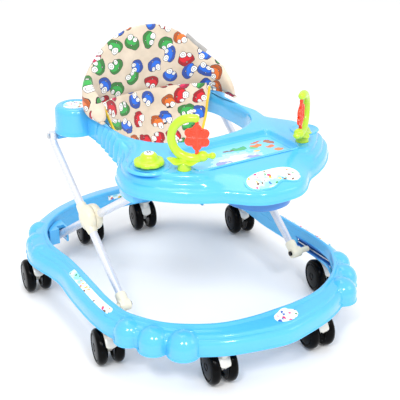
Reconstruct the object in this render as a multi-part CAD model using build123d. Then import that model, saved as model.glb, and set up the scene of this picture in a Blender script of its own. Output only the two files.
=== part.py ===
# Baby walker: ring base on eight twin casters, two crossed tube legs that fold
# down, a moulded play tray with two ring toys, and a high padded sling seat.
# Units are millimetres. +Z up, front of the walker towards -Y, the origin on the
# floor under the middle of the base ring. The walker is mirror symmetric in X.
from build123d import *
import os
from math import sin, cos, radians, degrees, atan2, hypot, pi

os.makedirs("parts", exist_ok=True)

# ---------------------------------------------------------------- dimensions
RING_BOTTOM, RING_TOP, RING_LIP = 78.0, 120.0, 125.0
RING_WALL = 3.0
WHEEL_R, WHEEL_T, WHEEL_GAP = 35.0, 19.5, 13.0
TRAIL = 14.0
STEM_R, STEM_CLEAR = 4.0, 0.05
AXLE_R = 2.5
TUBE_R, TUBE_WALL = 7.9, 1.2
X_A, X_B = 200.0, 182.5            # planes of the outer and the inner legs
REAR_PIVOT = (228.0, 90.0)         # (y, z) of the inner legs' pivot on the base
HUB = (42.0, 211.0)                # (y, z) of the crossing hub
SLIDE_PIN = (-109.0, 92.0)         # (y, z) of the outer legs' sliding pin
TRAY_PIVOT = (186.0, 338.0)        # (y, z) of the outer legs' pivot under the ear
HUB_R = 26.0
TRAY_BOTTOM, TRAY_TOP, TRAY_WALL = 345.0, 388.0, 3.0
EAR = (155.0, 170.0)
EAR_R, EAR_TOP = 42.0, 400.0
PANEL = (-108.0, 108.0, -226.0, -124.0)   # sunken play panel, x0 x1 y0 y1
TOY_STEM = (126.0, -208.0)
TOY_RING_R, TOY_TUBE_R, TOY_CENTRE_Z, TOY_OFFSET = 36.0, 7.0, 446.0, 14.0
TOY_TURN = 40.0                    # degrees from X to the ring toy's plane
FLOWER_R, FLOWER_T = 23.0, 6.0
KNOB = (-168.0, -160.0)
KNOB_R, KNOB_TRAVEL = 25.0, 3.0

# caster pivots on the ring's middle line, and the way each one trails at rest
CASTERS = [(-262, 172, 82), (-254, -148, 78), (-110, -309, 80), (110, -309, 83),
           (254, -148, 79), (258, 172, 81), (70, 310, 80), (-70, 310, 82)]

# half outlines, from the front middle round to the rear middle
RING_OUT = [(0, -361), (49, -353), (109, -337), (159, -312), (195, -285), (224, -254),
            (245, -222), (259, -188), (268, -155), (272, -115), (272, -75), (269, -12),
            (264, 45), (268, 86), (275, 118), (280, 154), (272, 195), (250, 229),
            (217, 276), (185, 304), (139, 331), (80, 351), (0, 361)]
RING_IN = [(0, -310), (45, -309), (94, -301), (132, -286), (171, -261), (197, -236),
           (217, -206), (230, -179), (235, -150), (237, -107), (235, -53), (233, 5),
           (233, 59), (237, 100), (238, 140), (226, 190), (203, 228), (164, 262),
           (110, 287), (50, 300), (0, 303)]
TRAY_OUT = [(0, -329), (32, -326), (57, -313), (76, -295), (94, -279), (122, -264),
            (152, -244), (181, -217), (206, -184), (214, -146), (203, -100), (184, -70),
            (168, -42), (160, 0), (154, 34),
            (148, 80), (148, 120), (146, 170), (110, 199), (55, 206), (0, 207)]
SEAT_HOLE = [(0, -105), (60, -96), (104, -70), (126, -35), (135, 5), (136, 60),
             (132, 110), (112, 146), (60, 162), (0, 165)]
BUMPS = [(238, -198, 26), (214, -246, 27), (177, -287, 28),
         (254, 152, 24), (243, 203, 24), (218, 250, 24)]
BUMP_Z = 90.0


# ------------------------------------------------------------------- helpers
def closed(half):
    """Whole outline from its right half, counter-clockwise from the front."""
    left = [(-x, y) for x, y in reversed(half) if abs(x) > 1e-6]
    return [(float(x), float(y)) for x, y in half] + left


def dense(pts, n=6):
    """Points along a closed smooth curve through pts."""
    out, m = [], len(pts)
    for i in range(m):
        p0, p1, p2, p3 = (pts[(i + k) % m] for k in (-1, 0, 1, 2))
        for j in range(n):
            t = j / n
            out.append(tuple(
                0.5 * (2 * p1[a] + (p2[a] - p0[a]) * t
                       + (2 * p0[a] - 5 * p1[a] + 4 * p2[a] - p3[a]) * t * t
                       + (3 * p1[a] - p0[a] - 3 * p2[a] + p3[a]) * t ** 3)
                for a in (0, 1)))
    return out


def moved_out(pts, d):
    """Closed outline moved outwards by d (inwards where d is negative)."""
    fine = dense(pts, 6)
    m = len(fine)
    out = []
    for i in range(0, m, 3):
        (x0, y0), (x1, y1) = fine[(i - 1) % m], fine[(i + 1) % m]
        dx, dy = x1 - x0, y1 - y0
        ln = hypot(dx, dy)
        out.append((fine[i][0] + d * dy / ln, fine[i][1] - d * dx / ln))
    return out


def plate(pts, z0, z1):
    """Solid between two heights inside a closed smooth outline."""
    face = make_face(Spline(*[(x, y, z0) for x, y in pts], periodic=True))
    return extrude(face, amount=z1 - z0, dir=(0, 0, 1))


def poly(pts, z0, z1):
    return extrude(make_face(Polyline(*[(x, y, z0) for x, y in pts], close=True)),
                   amount=z1 - z0, dir=(0, 0, 1))


def side(pts, x0, x1):
    """Prism along X from a polygon in (y, z)."""
    return extrude(make_face(Polyline(*[(x0, y, z) for y, z in pts], close=True)),
                   amount=x1 - x0, dir=(1, 0, 0))


def front(pts, y0, y1):
    """Prism along Y from a polygon in (x, z)."""
    return extrude(make_face(Polyline(*[(x, y0, z) for x, z in pts], close=True)),
                   amount=y1 - y0, dir=(0, 1, 0))


def post(x, y, z0, z1, r):
    return Pos(x, y, (z0 + z1) / 2) * Cylinder(r, z1 - z0)


def rod_x(x0, x1, y, z, r):
    return Pos((x0 + x1) / 2, y, z) * Rot(0, 90, 0) * Cylinder(r, abs(x1 - x0))


def rod_y(x, y0, y1, z, r):
    return Pos(x, (y0 + y1) / 2, z) * Rot(90, 0, 0) * Cylinder(r, abs(y1 - y0))


def block(x0, x1, y0, y1, z0, z1):
    return Pos((x0 + x1) / 2, (y0 + y1) / 2, (z0 + z1) / 2) * Box(x1 - x0, y1 - y0, z1 - z0)


def between(p, q, r):
    """Round bar from p to q."""
    v = Vector(*q) - Vector(*p)
    return extrude(Plane(origin=p, z_dir=v) * Circle(r), amount=v.length)


def mirror_x(shape):
    return mirror(shape, about=Plane.YZ)


def save(name, *shapes):
    solids = [s for shape in shapes for s in shape.solids()]
    export_step(solids[0] if len(solids) == 1 else Compound(children=solids),
                "parts/%s.step" % name)
    print(name, len(solids), round(sum(s.volume for s in solids) / 1000, 1), "cm3")


# ---------------------------------------------------------------- base ring
ring_out, ring_in = closed(RING_OUT), closed(RING_IN)
shape = plate(moved_out(ring_out, 0), RING_BOTTOM, 103)
shape += plate(moved_out(ring_out, -4), 102, 113)
shape += plate(moved_out(ring_out, -10), 112, RING_TOP)
inner_edge = moved_out(ring_in, 0)
shape += plate(moved_out(ring_in, 7), RING_BOTTOM + 2, RING_LIP)
for x, y, r in BUMPS:
    for s in (1, -1):
        ball = Pos(s * x, y, BUMP_Z) * Sphere(r)
        shape += ball - block(s * x - 60, s * x + 60, y - 60, y + 60, 0, RING_BOTTOM)
hollow = plate(moved_out(ring_out, -RING_WALL), RING_BOTTOM - 1, 100)
hollow += plate(moved_out(ring_out, -7), 99, 110)
hollow += plate(moved_out(ring_out, -13), 109, RING_TOP - RING_WALL)
for x, y, r in BUMPS:
    for s in (1, -1):
        hollow += (Pos(s * x, y, BUMP_Z) * Sphere(r - RING_WALL)) - block(
            s * x - 60, s * x + 60, y - 60, y + 60, 0, RING_BOTTOM - 1)
hollow -= plate(moved_out(ring_in, RING_WALL), RING_BOTTOM - 2, RING_TOP + 20)
opening = plate(inner_edge, RING_BOTTOM - 5, RING_LIP + 30)
ring = shape - hollow - opening
SOCKET_R = 6.5
for x, y, a in CASTERS:
    ring += post(x, y, RING_BOTTOM + 0.5, RING_TOP - 1, 9.0)
for x, y, a in CASTERS:
    ring -= post(x, y, RING_BOTTOM - 1, 112.0, SOCKET_R)
# long windows in the inner side walls, where the legs' pins slide
for s in (1, -1):
    ring -= block(min(s * 212, s * 243.4), max(s * 212, s * 243.4), -202, -66, 84.5, 99.5)
save("base_ring", ring)

save("caster_sockets", *[
    post(x, y, RING_BOTTOM + 0.2, 112.0, SOCKET_R)
    - post(x, y, RING_BOTTOM, 111.0, STEM_R + STEM_CLEAR) for x, y, a in CASTERS])

# ------------------------------------------------------------------- casters
for i, (px, py, yaw) in enumerate(CASTERS, 1):
    here = Pos(px, py, 0) * Rot(0, 0, yaw)      # local +X trails, local Y is the axle
    outline = make_hull((Pos(TRAIL, WHEEL_R) * Circle(12.5)).edges()
                        + (Pos(0, 62) * Circle(12.5)).edges()
                        + (Pos(0, 70) * Rectangle(25, 12)).edges())
    fork = extrude(Plane.XZ * outline, amount=5.6, both=True)
    fork += post(0, 0, 75.2, 77.4, 14)
    fork += post(0, 0, 70, 110.5, STEM_R)
    fork -= rod_y(TRAIL, -20, 20, WHEEL_R, AXLE_R + 0.05)
    save("caster_fork_%d" % i, here * fork)
    axle = rod_y(TRAIL, -25.0, 25.0, WHEEL_R, AXLE_R)
    save("caster_axle_%d" % i, here * axle)
    pair = []
    for s in (1, -1):
        inner = s * WHEEL_GAP / 2
        wheel = Pos(TRAIL, inner + s * WHEEL_T / 2, WHEEL_R) * Rot(90, 0, 0) * Cylinder(
            WHEEL_R, WHEEL_T)
        wheel = fillet(wheel.edges().filter_by(GeomType.CIRCLE).sort_by(Axis.Y)[-1 if s > 0 else 0], 7)
        edge = wheel.edges().filter_by(GeomType.CIRCLE).sort_by(Axis.Y)[0 if s > 0 else -1]
        wheel = chamfer(edge, 6.5)
        groove_at = Pos(TRAIL, inner + s * (WHEEL_T - 1.0), WHEEL_R) * Rot(90, 0, 0)
        wheel -= groove_at * (Cylinder(27.5, 4) - Cylinder(24.5, 4))
        wheel -= rod_y(TRAIL, inner - s * 1, inner + s * (WHEEL_T - 0.5), WHEEL_R, AXLE_R)
        pair.append(here * wheel)
    save("caster_wheels_%d" % i, *pair)

# -------------------------------------------------- rear brackets and rails
brackets, pins, rails = [], [], []
py, pz = REAR_PIVOT
b = block(X_B - 12.5, X_B + 30, py - 18, py + 22, 79, 113)
b -= block(X_B - 8.3, X_B + 8.3, py - 20, py + 12, 70, 106)
b -= block(X_B - 8.3, X_B + 8.3, py - 20, py - 2, 100, 120)
b &= plate(moved_out(ring_in, -0.2), 60, 140)
b -= rod_x(X_B - 20, X_B + 20, py, pz, 3.0)
brackets += [b, mirror_x(b)]
pin = rod_x(X_B - 14, X_B + 12.5, py, pz, 3.0) + rod_x(X_B - 16.5, X_B - 14, py, pz, 5.5)
pins += [pin, mirror_x(pin)]
save("rear_brackets", *brackets)
save("rear_pivot_pins", *pins)
rail = rod_y(240.4, -201.8, -66.2, 89.2, 2.3)
save("slide_rails", rail, mirror_x(rail))


# ---------------------------------------------------------------- leg frames
def tube(points, radii, x):
    path = FilletPolyline(*[(x, y, z) for y, z in points], radius=radii) if radii else \
        Polyline(*[(x, y, z) for y, z in points])
    p0, p1 = points[0], points[1]
    start = Plane(origin=(x, p0[0], p0[1]), z_dir=(0, p1[0] - p0[0], p1[1] - p0[1]))
    return (sweep(start * Circle(TUBE_R), path=path)
            - sweep(start * Circle(TUBE_R - TUBE_WALL), path=path))


def along(p, q, d):
    ln = hypot(q[0] - p[0], q[1] - p[1])
    return (p[0] + (q[0] - p[0]) * d / ln, p[1] + (q[1] - p[1]) * d / ln)


# inner legs: rear foot to the bracket under the tray's front
b_dir = (HUB[0] - REAR_PIVOT[0], HUB[1] - REAR_PIVOT[1])
b_len = hypot(*b_dir)
b_foot = along(REAR_PIVOT, HUB, -8.5)
b_head = along(REAR_PIVOT, HUB, b_len + 226)
leg_b = tube([b_foot, b_head], None, X_B)
leg_b -= rod_x(X_B - 12, X_B + 12, REAR_PIVOT[0], REAR_PIVOT[1], 3.05)
leg_b -= rod_x(X_B - 12, X_B + 12, HUB[0], HUB[1], 4.05)
save("leg_tube_b_right", leg_b)
save("leg_tube_b_left", mirror_x(leg_b))
hub_b = rod_x(X_B - 9.4, X_B + 8.5, HUB[0], HUB[1], HUB_R)
hub_b = fillet(hub_b.edges().filter_by(GeomType.CIRCLE).sort_by(Axis.X)[0], 5)
hub_b -= between((X_B, *b_foot), (X_B, *b_head), TUBE_R)
hub_b -= rod_x(X_B - 20, X_B + 20, HUB[0], HUB[1], 4.05)
save("hub_inner_right", hub_b)
save("hub_inner_left", mirror_x(hub_b))

# outer legs: sliding foot to the ear, the top 30 mm bent upright
a_dir = (HUB[0] - SLIDE_PIN[0], HUB[1] - SLIDE_PIN[1])
a_foot = along(SLIDE_PIN, HUB, 9)
a_bend = along(SLIDE_PIN, HUB, hypot(*a_dir) + (TRAY_PIVOT[0] - HUB[0]) / (a_dir[0] / hypot(*a_dir)))
a_head = (TRAY_PIVOT[0], TRAY_PIVOT[1] + 7.0)
leg_a = tube([a_foot, a_bend, a_head], 12, X_A)
leg_a -= rod_x(X_A - 12, X_A + 12, TRAY_PIVOT[0], TRAY_PIVOT[1], 3.05)
leg_a -= rod_x(X_A - 12, X_A + 12, HUB[0], HUB[1], 4.0)
print("bend at", a_bend, "head", a_head)
save("leg_tube_a_right", leg_a)
save("leg_tube_a_left", mirror_x(leg_a))
hub_a = rod_x(X_A - 8.4, X_A + 9.5, HUB[0], HUB[1], HUB_R)
hub_a = fillet(hub_a.edges().filter_by(GeomType.CIRCLE).sort_by(Axis.X)[-1], 5)
hub_a -= between((X_A, *a_foot), (X_A, *a_bend), TUBE_R)
hub_a -= rod_x(X_A - 20, X_A + 20, HUB[0], HUB[1], 4.0)
save("hub_outer_right", hub_a)
save("hub_outer_left", mirror_x(hub_a))
pin = rod_x(X_B - 10.4, X_A + 9.5, HUB[0], HUB[1], 4.0) + rod_x(
    X_B - 13, X_B - 9.9, HUB[0], HUB[1], 8.0)
save("hub_pins", pin, mirror_x(pin))

# cream feet of the outer legs: a sleeve on the tube, an eye and a sliding stub
sleeve_top = along(SLIDE_PIN, HUB, 34)
foot = between((X_A, *along(SLIDE_PIN, HUB, 2)), (X_A, *sleeve_top), 10.6)
foot += rod_x(X_A - 10.6, X_A + 12, SLIDE_PIN[0], SLIDE_PIN[1], 11.0)
foot += rod_x(X_A + 10, 234.2, SLIDE_PIN[0], SLIDE_PIN[1], 6.0)
foot -= between((X_A, *a_foot), (X_A, *a_bend), TUBE_R)
foot -= rod_x(X_A - 20, X_A + 8, SLIDE_PIN[0], SLIDE_PIN[1], 3.0)
save("slide_feet", foot, mirror_x(foot))
bolt = rod_x(X_A - 10.6, X_A + 8, SLIDE_PIN[0], SLIDE_PIN[1], 3.0) + rod_x(
    X_A - 13.4, X_A - 10.6, SLIDE_PIN[0], SLIDE_PIN[1], 5.0)
save("foot_bolts", bolt, mirror_x(bolt))

# ---------------------------------------------------------------------- tray
tray_out, hole = closed(TRAY_OUT), closed(SEAT_HOLE)
t = plate(moved_out(tray_out, 0), TRAY_BOTTOM, 366)
t += plate(moved_out(tray_out, -4), 365, 379)
t += plate(moved_out(tray_out, -9), 378, TRAY_TOP)
for s in (1, -1):
    t += post(s * EAR[0], EAR[1], TRAY_BOTTOM, EAR_TOP, EAR_R)
inside = plate(moved_out(tray_out, -TRAY_WALL), TRAY_BOTTOM - 1, 362)
inside += plate(moved_out(tray_out, -7), 361, 375)
inside += plate(moved_out(tray_out, -12), 374, TRAY_TOP - TRAY_WALL)
for s in (1, -1):
    inside += post(s * EAR[0], EAR[1], TRAY_BOTTOM - 1, EAR_TOP - 3.5, EAR_R - TRAY_WALL)
inside -= plate(moved_out(hole, TRAY_WALL), TRAY_BOTTOM - 2, EAR_TOP + 20)
t = t - inside - plate(moved_out(hole, 0), TRAY_BOTTOM - 5, EAR_TOP + 30)
x0, x1, y0, y1 = PANEL
t -= block(x0, x1, y0, y1, 360, 400)
for s in (1, -1):
    t -= post(s * EAR[0], EAR[1], EAR_TOP - 2, EAR_TOP + 5, 24)
    # relief over the leg's head, so that it can swing
    t -= block(s * X_A - 15, s * X_A + 15, TRAY_PIVOT[0] - 16, TRAY_PIVOT[0] + 18, 340, 353)
# bosses for the toys and the knob
for s in (1, -1):
    t += post(s * TOY_STEM[0], TOY_STEM[1], 372, 387, 15)
    t -= post(s * TOY_STEM[0], TOY_STEM[1], 360, 400, 5.05)
t += post(KNOB[0], KNOB[1], 366, 386, 22)
t -= post(KNOB[0], KNOB[1], 370, 400, 18)
t -= post(KNOB[0], KNOB[1], 360, 400, 3.1)
# lugs under the ears for the outer legs
for s in (1, -1):
    lug = block(X_A - 32, X_A - 9, TRAY_PIVOT[0] - 9, TRAY_PIVOT[0] + 9, 329, 352)
    lug += block(X_A - 34, X_A - 24, TRAY_PIVOT[0] - 9, TRAY_PIVOT[0] + 9, 350, 398)
    lug -= rod_x(X_A - 50, X_A, TRAY_PIVOT[0], TRAY_PIVOT[1], 3.0)
    t += lug if s > 0 else mirror_x(lug)
save("tray_shell", t)
pin = rod_x(X_A - 30, X_A + 9, TRAY_PIVOT[0], TRAY_PIVOT[1], 3.0) + rod_x(
    X_A + 8.6, X_A + 11.4, TRAY_PIVOT[0], TRAY_PIVOT[1], 5.5)
save("ear_pins", pin, mirror_x(pin))
save("ear_discs", *[post(s * EAR[0], EAR[1], EAR_TOP - 2, EAR_TOP - 0.4, 23.8) for s in (1, -1)])
panel = block(x0 - 3, x1 + 3, y0 - 3, y1 + 3, 376, TRAY_TOP - TRAY_WALL)
panel -= block(x0, x1, y0, y1, 379, 400)
save("play_panel", panel)

# channels under the tray that take the inner legs' upper ends
hx, hz = b_head
ch = block(X_B - 12, 225, hx - 24, hx + 30, 330, 360)
ch -= block(X_B - 8.9, X_B + 8.9, hx - 60, hx + 60, 300, 356)
ch &= plate(moved_out(tray_out, -TRAY_WALL - 0.05), 300, 361)
save("tray_channels", ch, mirror_x(ch))

# rounded cover of the sound box under the tray's nose
cover = closed([(0, -309), (28, -303), (48, -284), (58, -262), (60, -243), (45, -234), (0, -233)])
c = plate(moved_out(cover, 0), 320, TRAY_TOP - TRAY_WALL) - plate(
    moved_out(cover, -2.5), 322.5, TRAY_TOP)
save("sound_box", c)
save("sound_box_speaker", post(0, -268, 322.5, 336, 22) - post(0, -268, 328, 340, 17))

# ---------------------------------------------------------------------- seat
in_line = [(148, 62), (148, 92), (144, 112), (131, 130), (112, 144), (80, 151), (0, 153)]
out_line = [(x, y) for x, y in [(170, 62), (170, 98), (163, 126), (146, 148), (120, 165),
                                (82, 173), (0, 175)]]
loop = in_line + [(-x, y) for x, y in reversed(in_line[:-1])] + [
    (-x, y) for x, y in out_line] + [(x, y) for x, y in reversed(out_line[:-1])]
back = poly(loop, TRAY_TOP + 1.2, 560)
top = [(170, 380), (170, 436), (160, 444), (150, 461), (140, 471), (130, 481), (120, 490),
       (110, 500), (100, 510), (80, 524), (60, 536), (40, 543), (20, 547), (0, 548)]
back &= front(top + [(-x, z) for x, z in reversed(top[:-1])], 0, 260)
back &= side([(62, 380), (62, 398), (70, 412), (80, 422), (100, 442), (116, 459), (127, 470),
              (135, 481), (143, 498), (150, 560), (200, 560), (200, 380)], -200, 200)
for s in (1, -1):
    back -= post(s * EAR[0], EAR[1], 380, EAR_TOP + 1, EAR_R + 1)
mid_in = [(125, 147.5), (84, 158), (0, 160)]
mid_out = [(125, 150.5), (84, 161), (0, 163)]
board_loop = mid_in + [(-x, y) for x, y in reversed(mid_in[:-1])] + [
    (-x, y) for x, y in mid_out] + [(x, y) for x, y in reversed(mid_out[:-1])]
board = poly(board_loop, 404, 560)
board_top = [(126, 400), (126, 468), (110, 484), (80, 510), (40, 530), (0, 535)]
board &= front(board_top + [(-x, z) for x, z in reversed(board_top[:-1])], 0, 260)
save("seat_board", board)
save("seat_back", back - board)

# sling: a hammock from the back's lower seam down to the crotch and up in front
line = [(150, 386), (143, 356), (118, 318), (88, 286), (55, 268), (10, 262), (-36, 284),
        (-76, 324), (-96, 344)]
low = []
for i, (y, z) in enumerate(line):
    (ya, za), (yb, zb) = line[max(i - 1, 0)], line[min(i + 1, len(line) - 1)]
    ln = hypot(yb - ya, zb - za)
    low.append((y - 4.0 * (zb - za) / ln, z + 4.0 * (yb - ya) / ln))
sling = side(line + list(reversed(low)), -130, 130)
shape_front = [(104, 390), (101, 360), (90, 332), (70, 300), (48, 276), (42, 240)]
shape_front += [(-x, z) for x, z in reversed(shape_front)]
sling_rear = sling & front(shape_front, 20, 260)
sling_front = sling & block(-42, 42, -140, 20.5, 200, 400)
save("seat_sling", sling_rear + sling_front)
hooks = []
for s in (1, -1):
    hooks.append(block(min(s * 8, s * 20), max(s * 8, s * 20), -103.5, -99.2, 338, 352))
save("sling_hooks", *hooks)


# ---------------------------------------------------------------------- toys
def in_plane(e, z, s):
    """Point of the left (s=-1) or right (s=+1) toy, e along its plane from the stem."""
    ux, uy = -s * cos(radians(TOY_TURN)), -sin(radians(TOY_TURN))
    return (s * TOY_STEM[0] + e * ux, TOY_STEM[1] + e * uy, z)


s = -1
ux, uy = -s * cos(radians(TOY_TURN)), -sin(radians(TOY_TURN))
frame = Plane(origin=in_plane(TOY_OFFSET, TOY_CENTRE_Z, s), x_dir=(ux, uy, 0),
              z_dir=Vector(ux, uy, 0).cross(Vector(0, 0, 1)))
arc = frame * CenterArc((0, 0), TOY_RING_R, -60, -221)
start = arc @ 0
ring_toy = sweep(Plane(origin=start, z_dir=arc % 0) * Circle(TOY_TUBE_R), path=arc)
ring_toy += Pos(*(arc @ 1)) * Sphere(TOY_TUBE_R)
# a plain round head and a small round nose
ring_toy += Pos(*in_plane(TOY_OFFSET + 18.0, TOY_CENTRE_Z - 31.2, s)) * Sphere(9.5)
ring_toy += between(in_plane(TOY_OFFSET + 18, TOY_CENTRE_Z - 31.2, s),
                    in_plane(TOY_OFFSET + 33, TOY_CENTRE_Z - 29.5, s), 4.0)
ring_toy += Pos(*in_plane(TOY_OFFSET + 34.5, TOY_CENTRE_Z - 29.5, s)) * Sphere(6.0)
ring_toy += Pos(*in_plane(0, 0, s)) * Pos(0, 0, 396.5) * Cylinder(11.5, 17)
ring_toy += Pos(*in_plane(0, 0, s)) * Pos(0, 0, 404) * Cylinder(15.5, 5)
ring_toy += Pos(*in_plane(0, 0, s)) * Pos(0, 0, 379) * Cylinder(5.0, 20)
# bores at both ends of the flower's pin
ring_toy -= between(in_plane(TOY_OFFSET + 8, TOY_CENTRE_Z - 34, s),
                    in_plane(TOY_OFFSET + 8, TOY_CENTRE_Z + 36, s), 2.0)
save("toy_ring_left", ring_toy)
save("toy_ring_right", mirror_x(ring_toy))
pin = between(in_plane(TOY_OFFSET + 8, TOY_CENTRE_Z - 33.5, s),
              in_plane(TOY_OFFSET + 8, TOY_CENTRE_Z + 35.5, s), 2.0)
save("flower_pin_left", pin)
save("flower_pin_right", mirror_x(pin))
centre = Plane(origin=in_plane(TOY_OFFSET + 8, TOY_CENTRE_Z + 2, s), x_dir=(ux, uy, 0),
               z_dir=Vector(ux, uy, 0).cross(Vector(0, 0, 1)))
petals = Circle(14)
for k in range(6):
    ang = radians(60 * k)
    petals += Pos(15.2 * cos(ang), 15.2 * sin(ang)) * Circle(7.6)
flower = extrude(centre * petals, amount=FLOWER_T / 2, both=True)
flower -= between(in_plane(TOY_OFFSET + 8, TOY_CENTRE_Z - 40, s),
                  in_plane(TOY_OFFSET + 8, TOY_CENTRE_Z + 40, s), 2.05)
save("flower_left", flower)
save("flower_right", mirror_x(flower))

# press knob on the left front lobe, held up by a coil spring (kept as a sleeve)
kx, ky = KNOB
knob = post(kx, ky, 391.5, 397, KNOB_R)
for k in range(8):
    a = 2 * pi * k / 8
    knob += post(kx + 21.5 * cos(a), ky + 21.5 * sin(a), 391.5, 399.5, 5.2)
knob += Pos(kx, ky, 394) * Sphere(16.5) - block(kx - 40, kx + 40, ky - 40, ky + 40, 340, 394)
knob += post(kx, ky, 378.6, 392, 17.6) - post(kx, ky, 370, 389, 14.5)
knob += post(kx, ky, 366, 392, 3.0)
save("press_knob", knob)
save("knob_spring", post(kx, ky, 370.2, 388.8, 7.5) - post(kx, ky, 365, 395, 5.5))
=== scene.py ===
# Baby walker, visual model. Lengths below are millimetres in the CAD's frame,
# turned to metres when a mesh is made.
import bpy
import math
from math import sin, cos, pi, radians, hypot, atan2, sqrt
from mathutils import Vector, Matrix
from mathutils.bvhtree import BVHTree


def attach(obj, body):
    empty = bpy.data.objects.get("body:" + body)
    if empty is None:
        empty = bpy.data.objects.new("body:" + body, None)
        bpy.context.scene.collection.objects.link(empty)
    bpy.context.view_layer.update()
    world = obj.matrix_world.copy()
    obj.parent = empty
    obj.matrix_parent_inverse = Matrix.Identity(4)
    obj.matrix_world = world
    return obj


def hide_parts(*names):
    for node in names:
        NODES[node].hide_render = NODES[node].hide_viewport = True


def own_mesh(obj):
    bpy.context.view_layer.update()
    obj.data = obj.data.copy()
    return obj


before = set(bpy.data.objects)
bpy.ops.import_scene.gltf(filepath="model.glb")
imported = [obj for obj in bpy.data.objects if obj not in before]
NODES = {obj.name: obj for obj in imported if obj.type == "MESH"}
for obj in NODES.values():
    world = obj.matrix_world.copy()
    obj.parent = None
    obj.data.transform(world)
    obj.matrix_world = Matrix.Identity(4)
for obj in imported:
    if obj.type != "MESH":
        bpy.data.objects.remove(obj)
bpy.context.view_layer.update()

scene = bpy.context.scene

# ------------------------------------------------------------ outlines (mm)
RING_OUT = [(0, -361), (49, -353), (109, -337), (159, -312), (195, -285), (224, -254),
            (245, -222), (259, -188), (268, -155), (272, -115), (272, -75), (269, -12),
            (264, 45), (268, 86), (275, 118), (280, 154), (272, 195), (250, 229),
            (217, 276), (185, 304), (139, 331), (80, 351), (0, 361)]
RING_IN = [(0, -310), (45, -309), (94, -301), (132, -286), (171, -261), (197, -236),
           (217, -206), (230, -179), (235, -150), (237, -107), (235, -53), (233, 5),
           (233, 59), (237, 100), (238, 140), (226, 190), (203, 228), (164, 262),
           (110, 287), (50, 300), (0, 303)]
TRAY_OUT = [(0, -329), (32, -326), (57, -313), (76, -295), (94, -279), (122, -264),
            (152, -244), (181, -217), (206, -184), (214, -146), (203, -100), (184, -70),
            (168, -42), (160, 0), (154, 34), (148, 80), (148, 120), (146, 170), (110, 199),
            (55, 206), (0, 207)]
SEAT_HOLE = [(0, -105), (60, -96), (104, -70), (126, -35), (135, 5), (136, 60),
             (132, 110), (112, 146), (60, 162), (0, 165)]
BUMPS = [(238, -198, 26), (214, -246, 27), (177, -287, 28),
         (254, 152, 24), (243, 203, 24), (218, 250, 24)]
CASTERS = [(-262, 172, 82), (-254, -148, 78), (-110, -309, 80), (110, -309, 83),
           (254, -148, 79), (258, 172, 81), (70, 310, 80), (-70, 310, 82)]
WHEEL_R, WHEEL_T, WHEEL_GAP, TRAIL = 35.0, 19.5, 13.0, 14.0
TUBE_R, X_A, X_B = 7.9, 200.0, 182.5
REAR_PIVOT, HUB, SLIDE_PIN, TRAY_PIVOT = (228.0, 90.0), (42.0, 211.0), (-109.0, 92.0), (186.0, 338.0)
EAR, EAR_R = (155.0, 170.0), 42.0
PANEL = (-108.0, 108.0, -226.0, -124.0)
TOY_STEM, TOY_RING_R, TOY_CENTRE_Z, TOY_OFFSET, TOY_TURN = (126.0, -208.0), 36.0, 446.0, 14.0, 40.0
KNOB = (-168.0, -160.0)


# ------------------------------------------------------------------ helpers
def closed(half):
    left = [(-x, y) for x, y in reversed(half) if abs(x) > 1e-6]
    return [(float(x), float(y)) for x, y in half] + left


def dense(pts, n=24):
    out, m = [], len(pts)
    for i in range(m):
        p = [pts[(i + k) % m] for k in (-1, 0, 1, 2)]
        for j in range(n):
            t = j / n
            out.append(tuple(
                0.5 * (2 * p[1][a] + (p[2][a] - p[0][a]) * t
                       + (2 * p[0][a] - 5 * p[1][a] + 4 * p[2][a] - p[3][a]) * t * t
                       + (3 * p[1][a] - p[0][a] - 3 * p[2][a] + p[3][a]) * t ** 3)
                for a in range(len(p[1]))))
    return out


def open_curve(pts, n=12):
    """Smooth open curve through pts."""
    out, m = [], len(pts)
    for i in range(m - 1):
        p = [pts[max(0, min(m - 1, i + k))] for k in (-1, 0, 1, 2)]
        for j in range(n):
            t = j / n
            out.append(tuple(
                0.5 * (2 * p[1][a] + (p[2][a] - p[0][a]) * t
                       + (2 * p[0][a] - 5 * p[1][a] + 4 * p[2][a] - p[3][a]) * t * t
                       + (3 * p[1][a] - p[0][a] - 3 * p[2][a] + p[3][a]) * t ** 3)
                for a in range(len(p[1]))))
    out.append(tuple(pts[-1]))
    return out


class Outline:
    """Closed star-shaped outline, read by angle, with an offset inwards or outwards."""

    def __init__(self, half, n_ang):
        self.fine = dense(closed(half))
        self.n = n_ang
        self.memo = {}
        m = len(self.fine)
        self.nrm = []
        for i in range(m):
            (x0, y0), (x1, y1) = self.fine[i - 1], self.fine[(i + 1) % m]
            ln = hypot(x1 - x0, y1 - y0)
            self.nrm.append(((y1 - y0) / ln, -(x1 - x0) / ln))

    def radii(self, d):
        """Radius at each of the n angles of the outline moved outwards by d."""
        key = round(d, 3)
        if key in self.memo:
            return self.memo[key]
        pts = [(x + d * nx, y + d * ny) for (x, y), (nx, ny) in zip(self.fine, self.nrm)]
        pol = sorted((atan2(y, x), hypot(x, y)) for x, y in pts)
        pol = [(pol[-1][0] - 2 * pi, pol[-1][1])] + pol + [(pol[0][0] + 2 * pi, pol[0][1])]
        res, k = [], 0
        for i in range(self.n):
            a = -pi + 2 * pi * i / self.n
            while pol[k + 1][0] < a:
                k += 1
            (a0, r0), (a1, r1) = pol[k], pol[k + 1]
            f = 0 if a1 - a0 < 1e-9 else (a - a0) / (a1 - a0)
            res.append(r0 + (r1 - r0) * f)
        self.memo[key] = res
        return res


def smooth01(a, b, x):
    t = max(0.0, min(1.0, (x - a) / (b - a)))
    return t * t * (3 - 2 * t)


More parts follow.
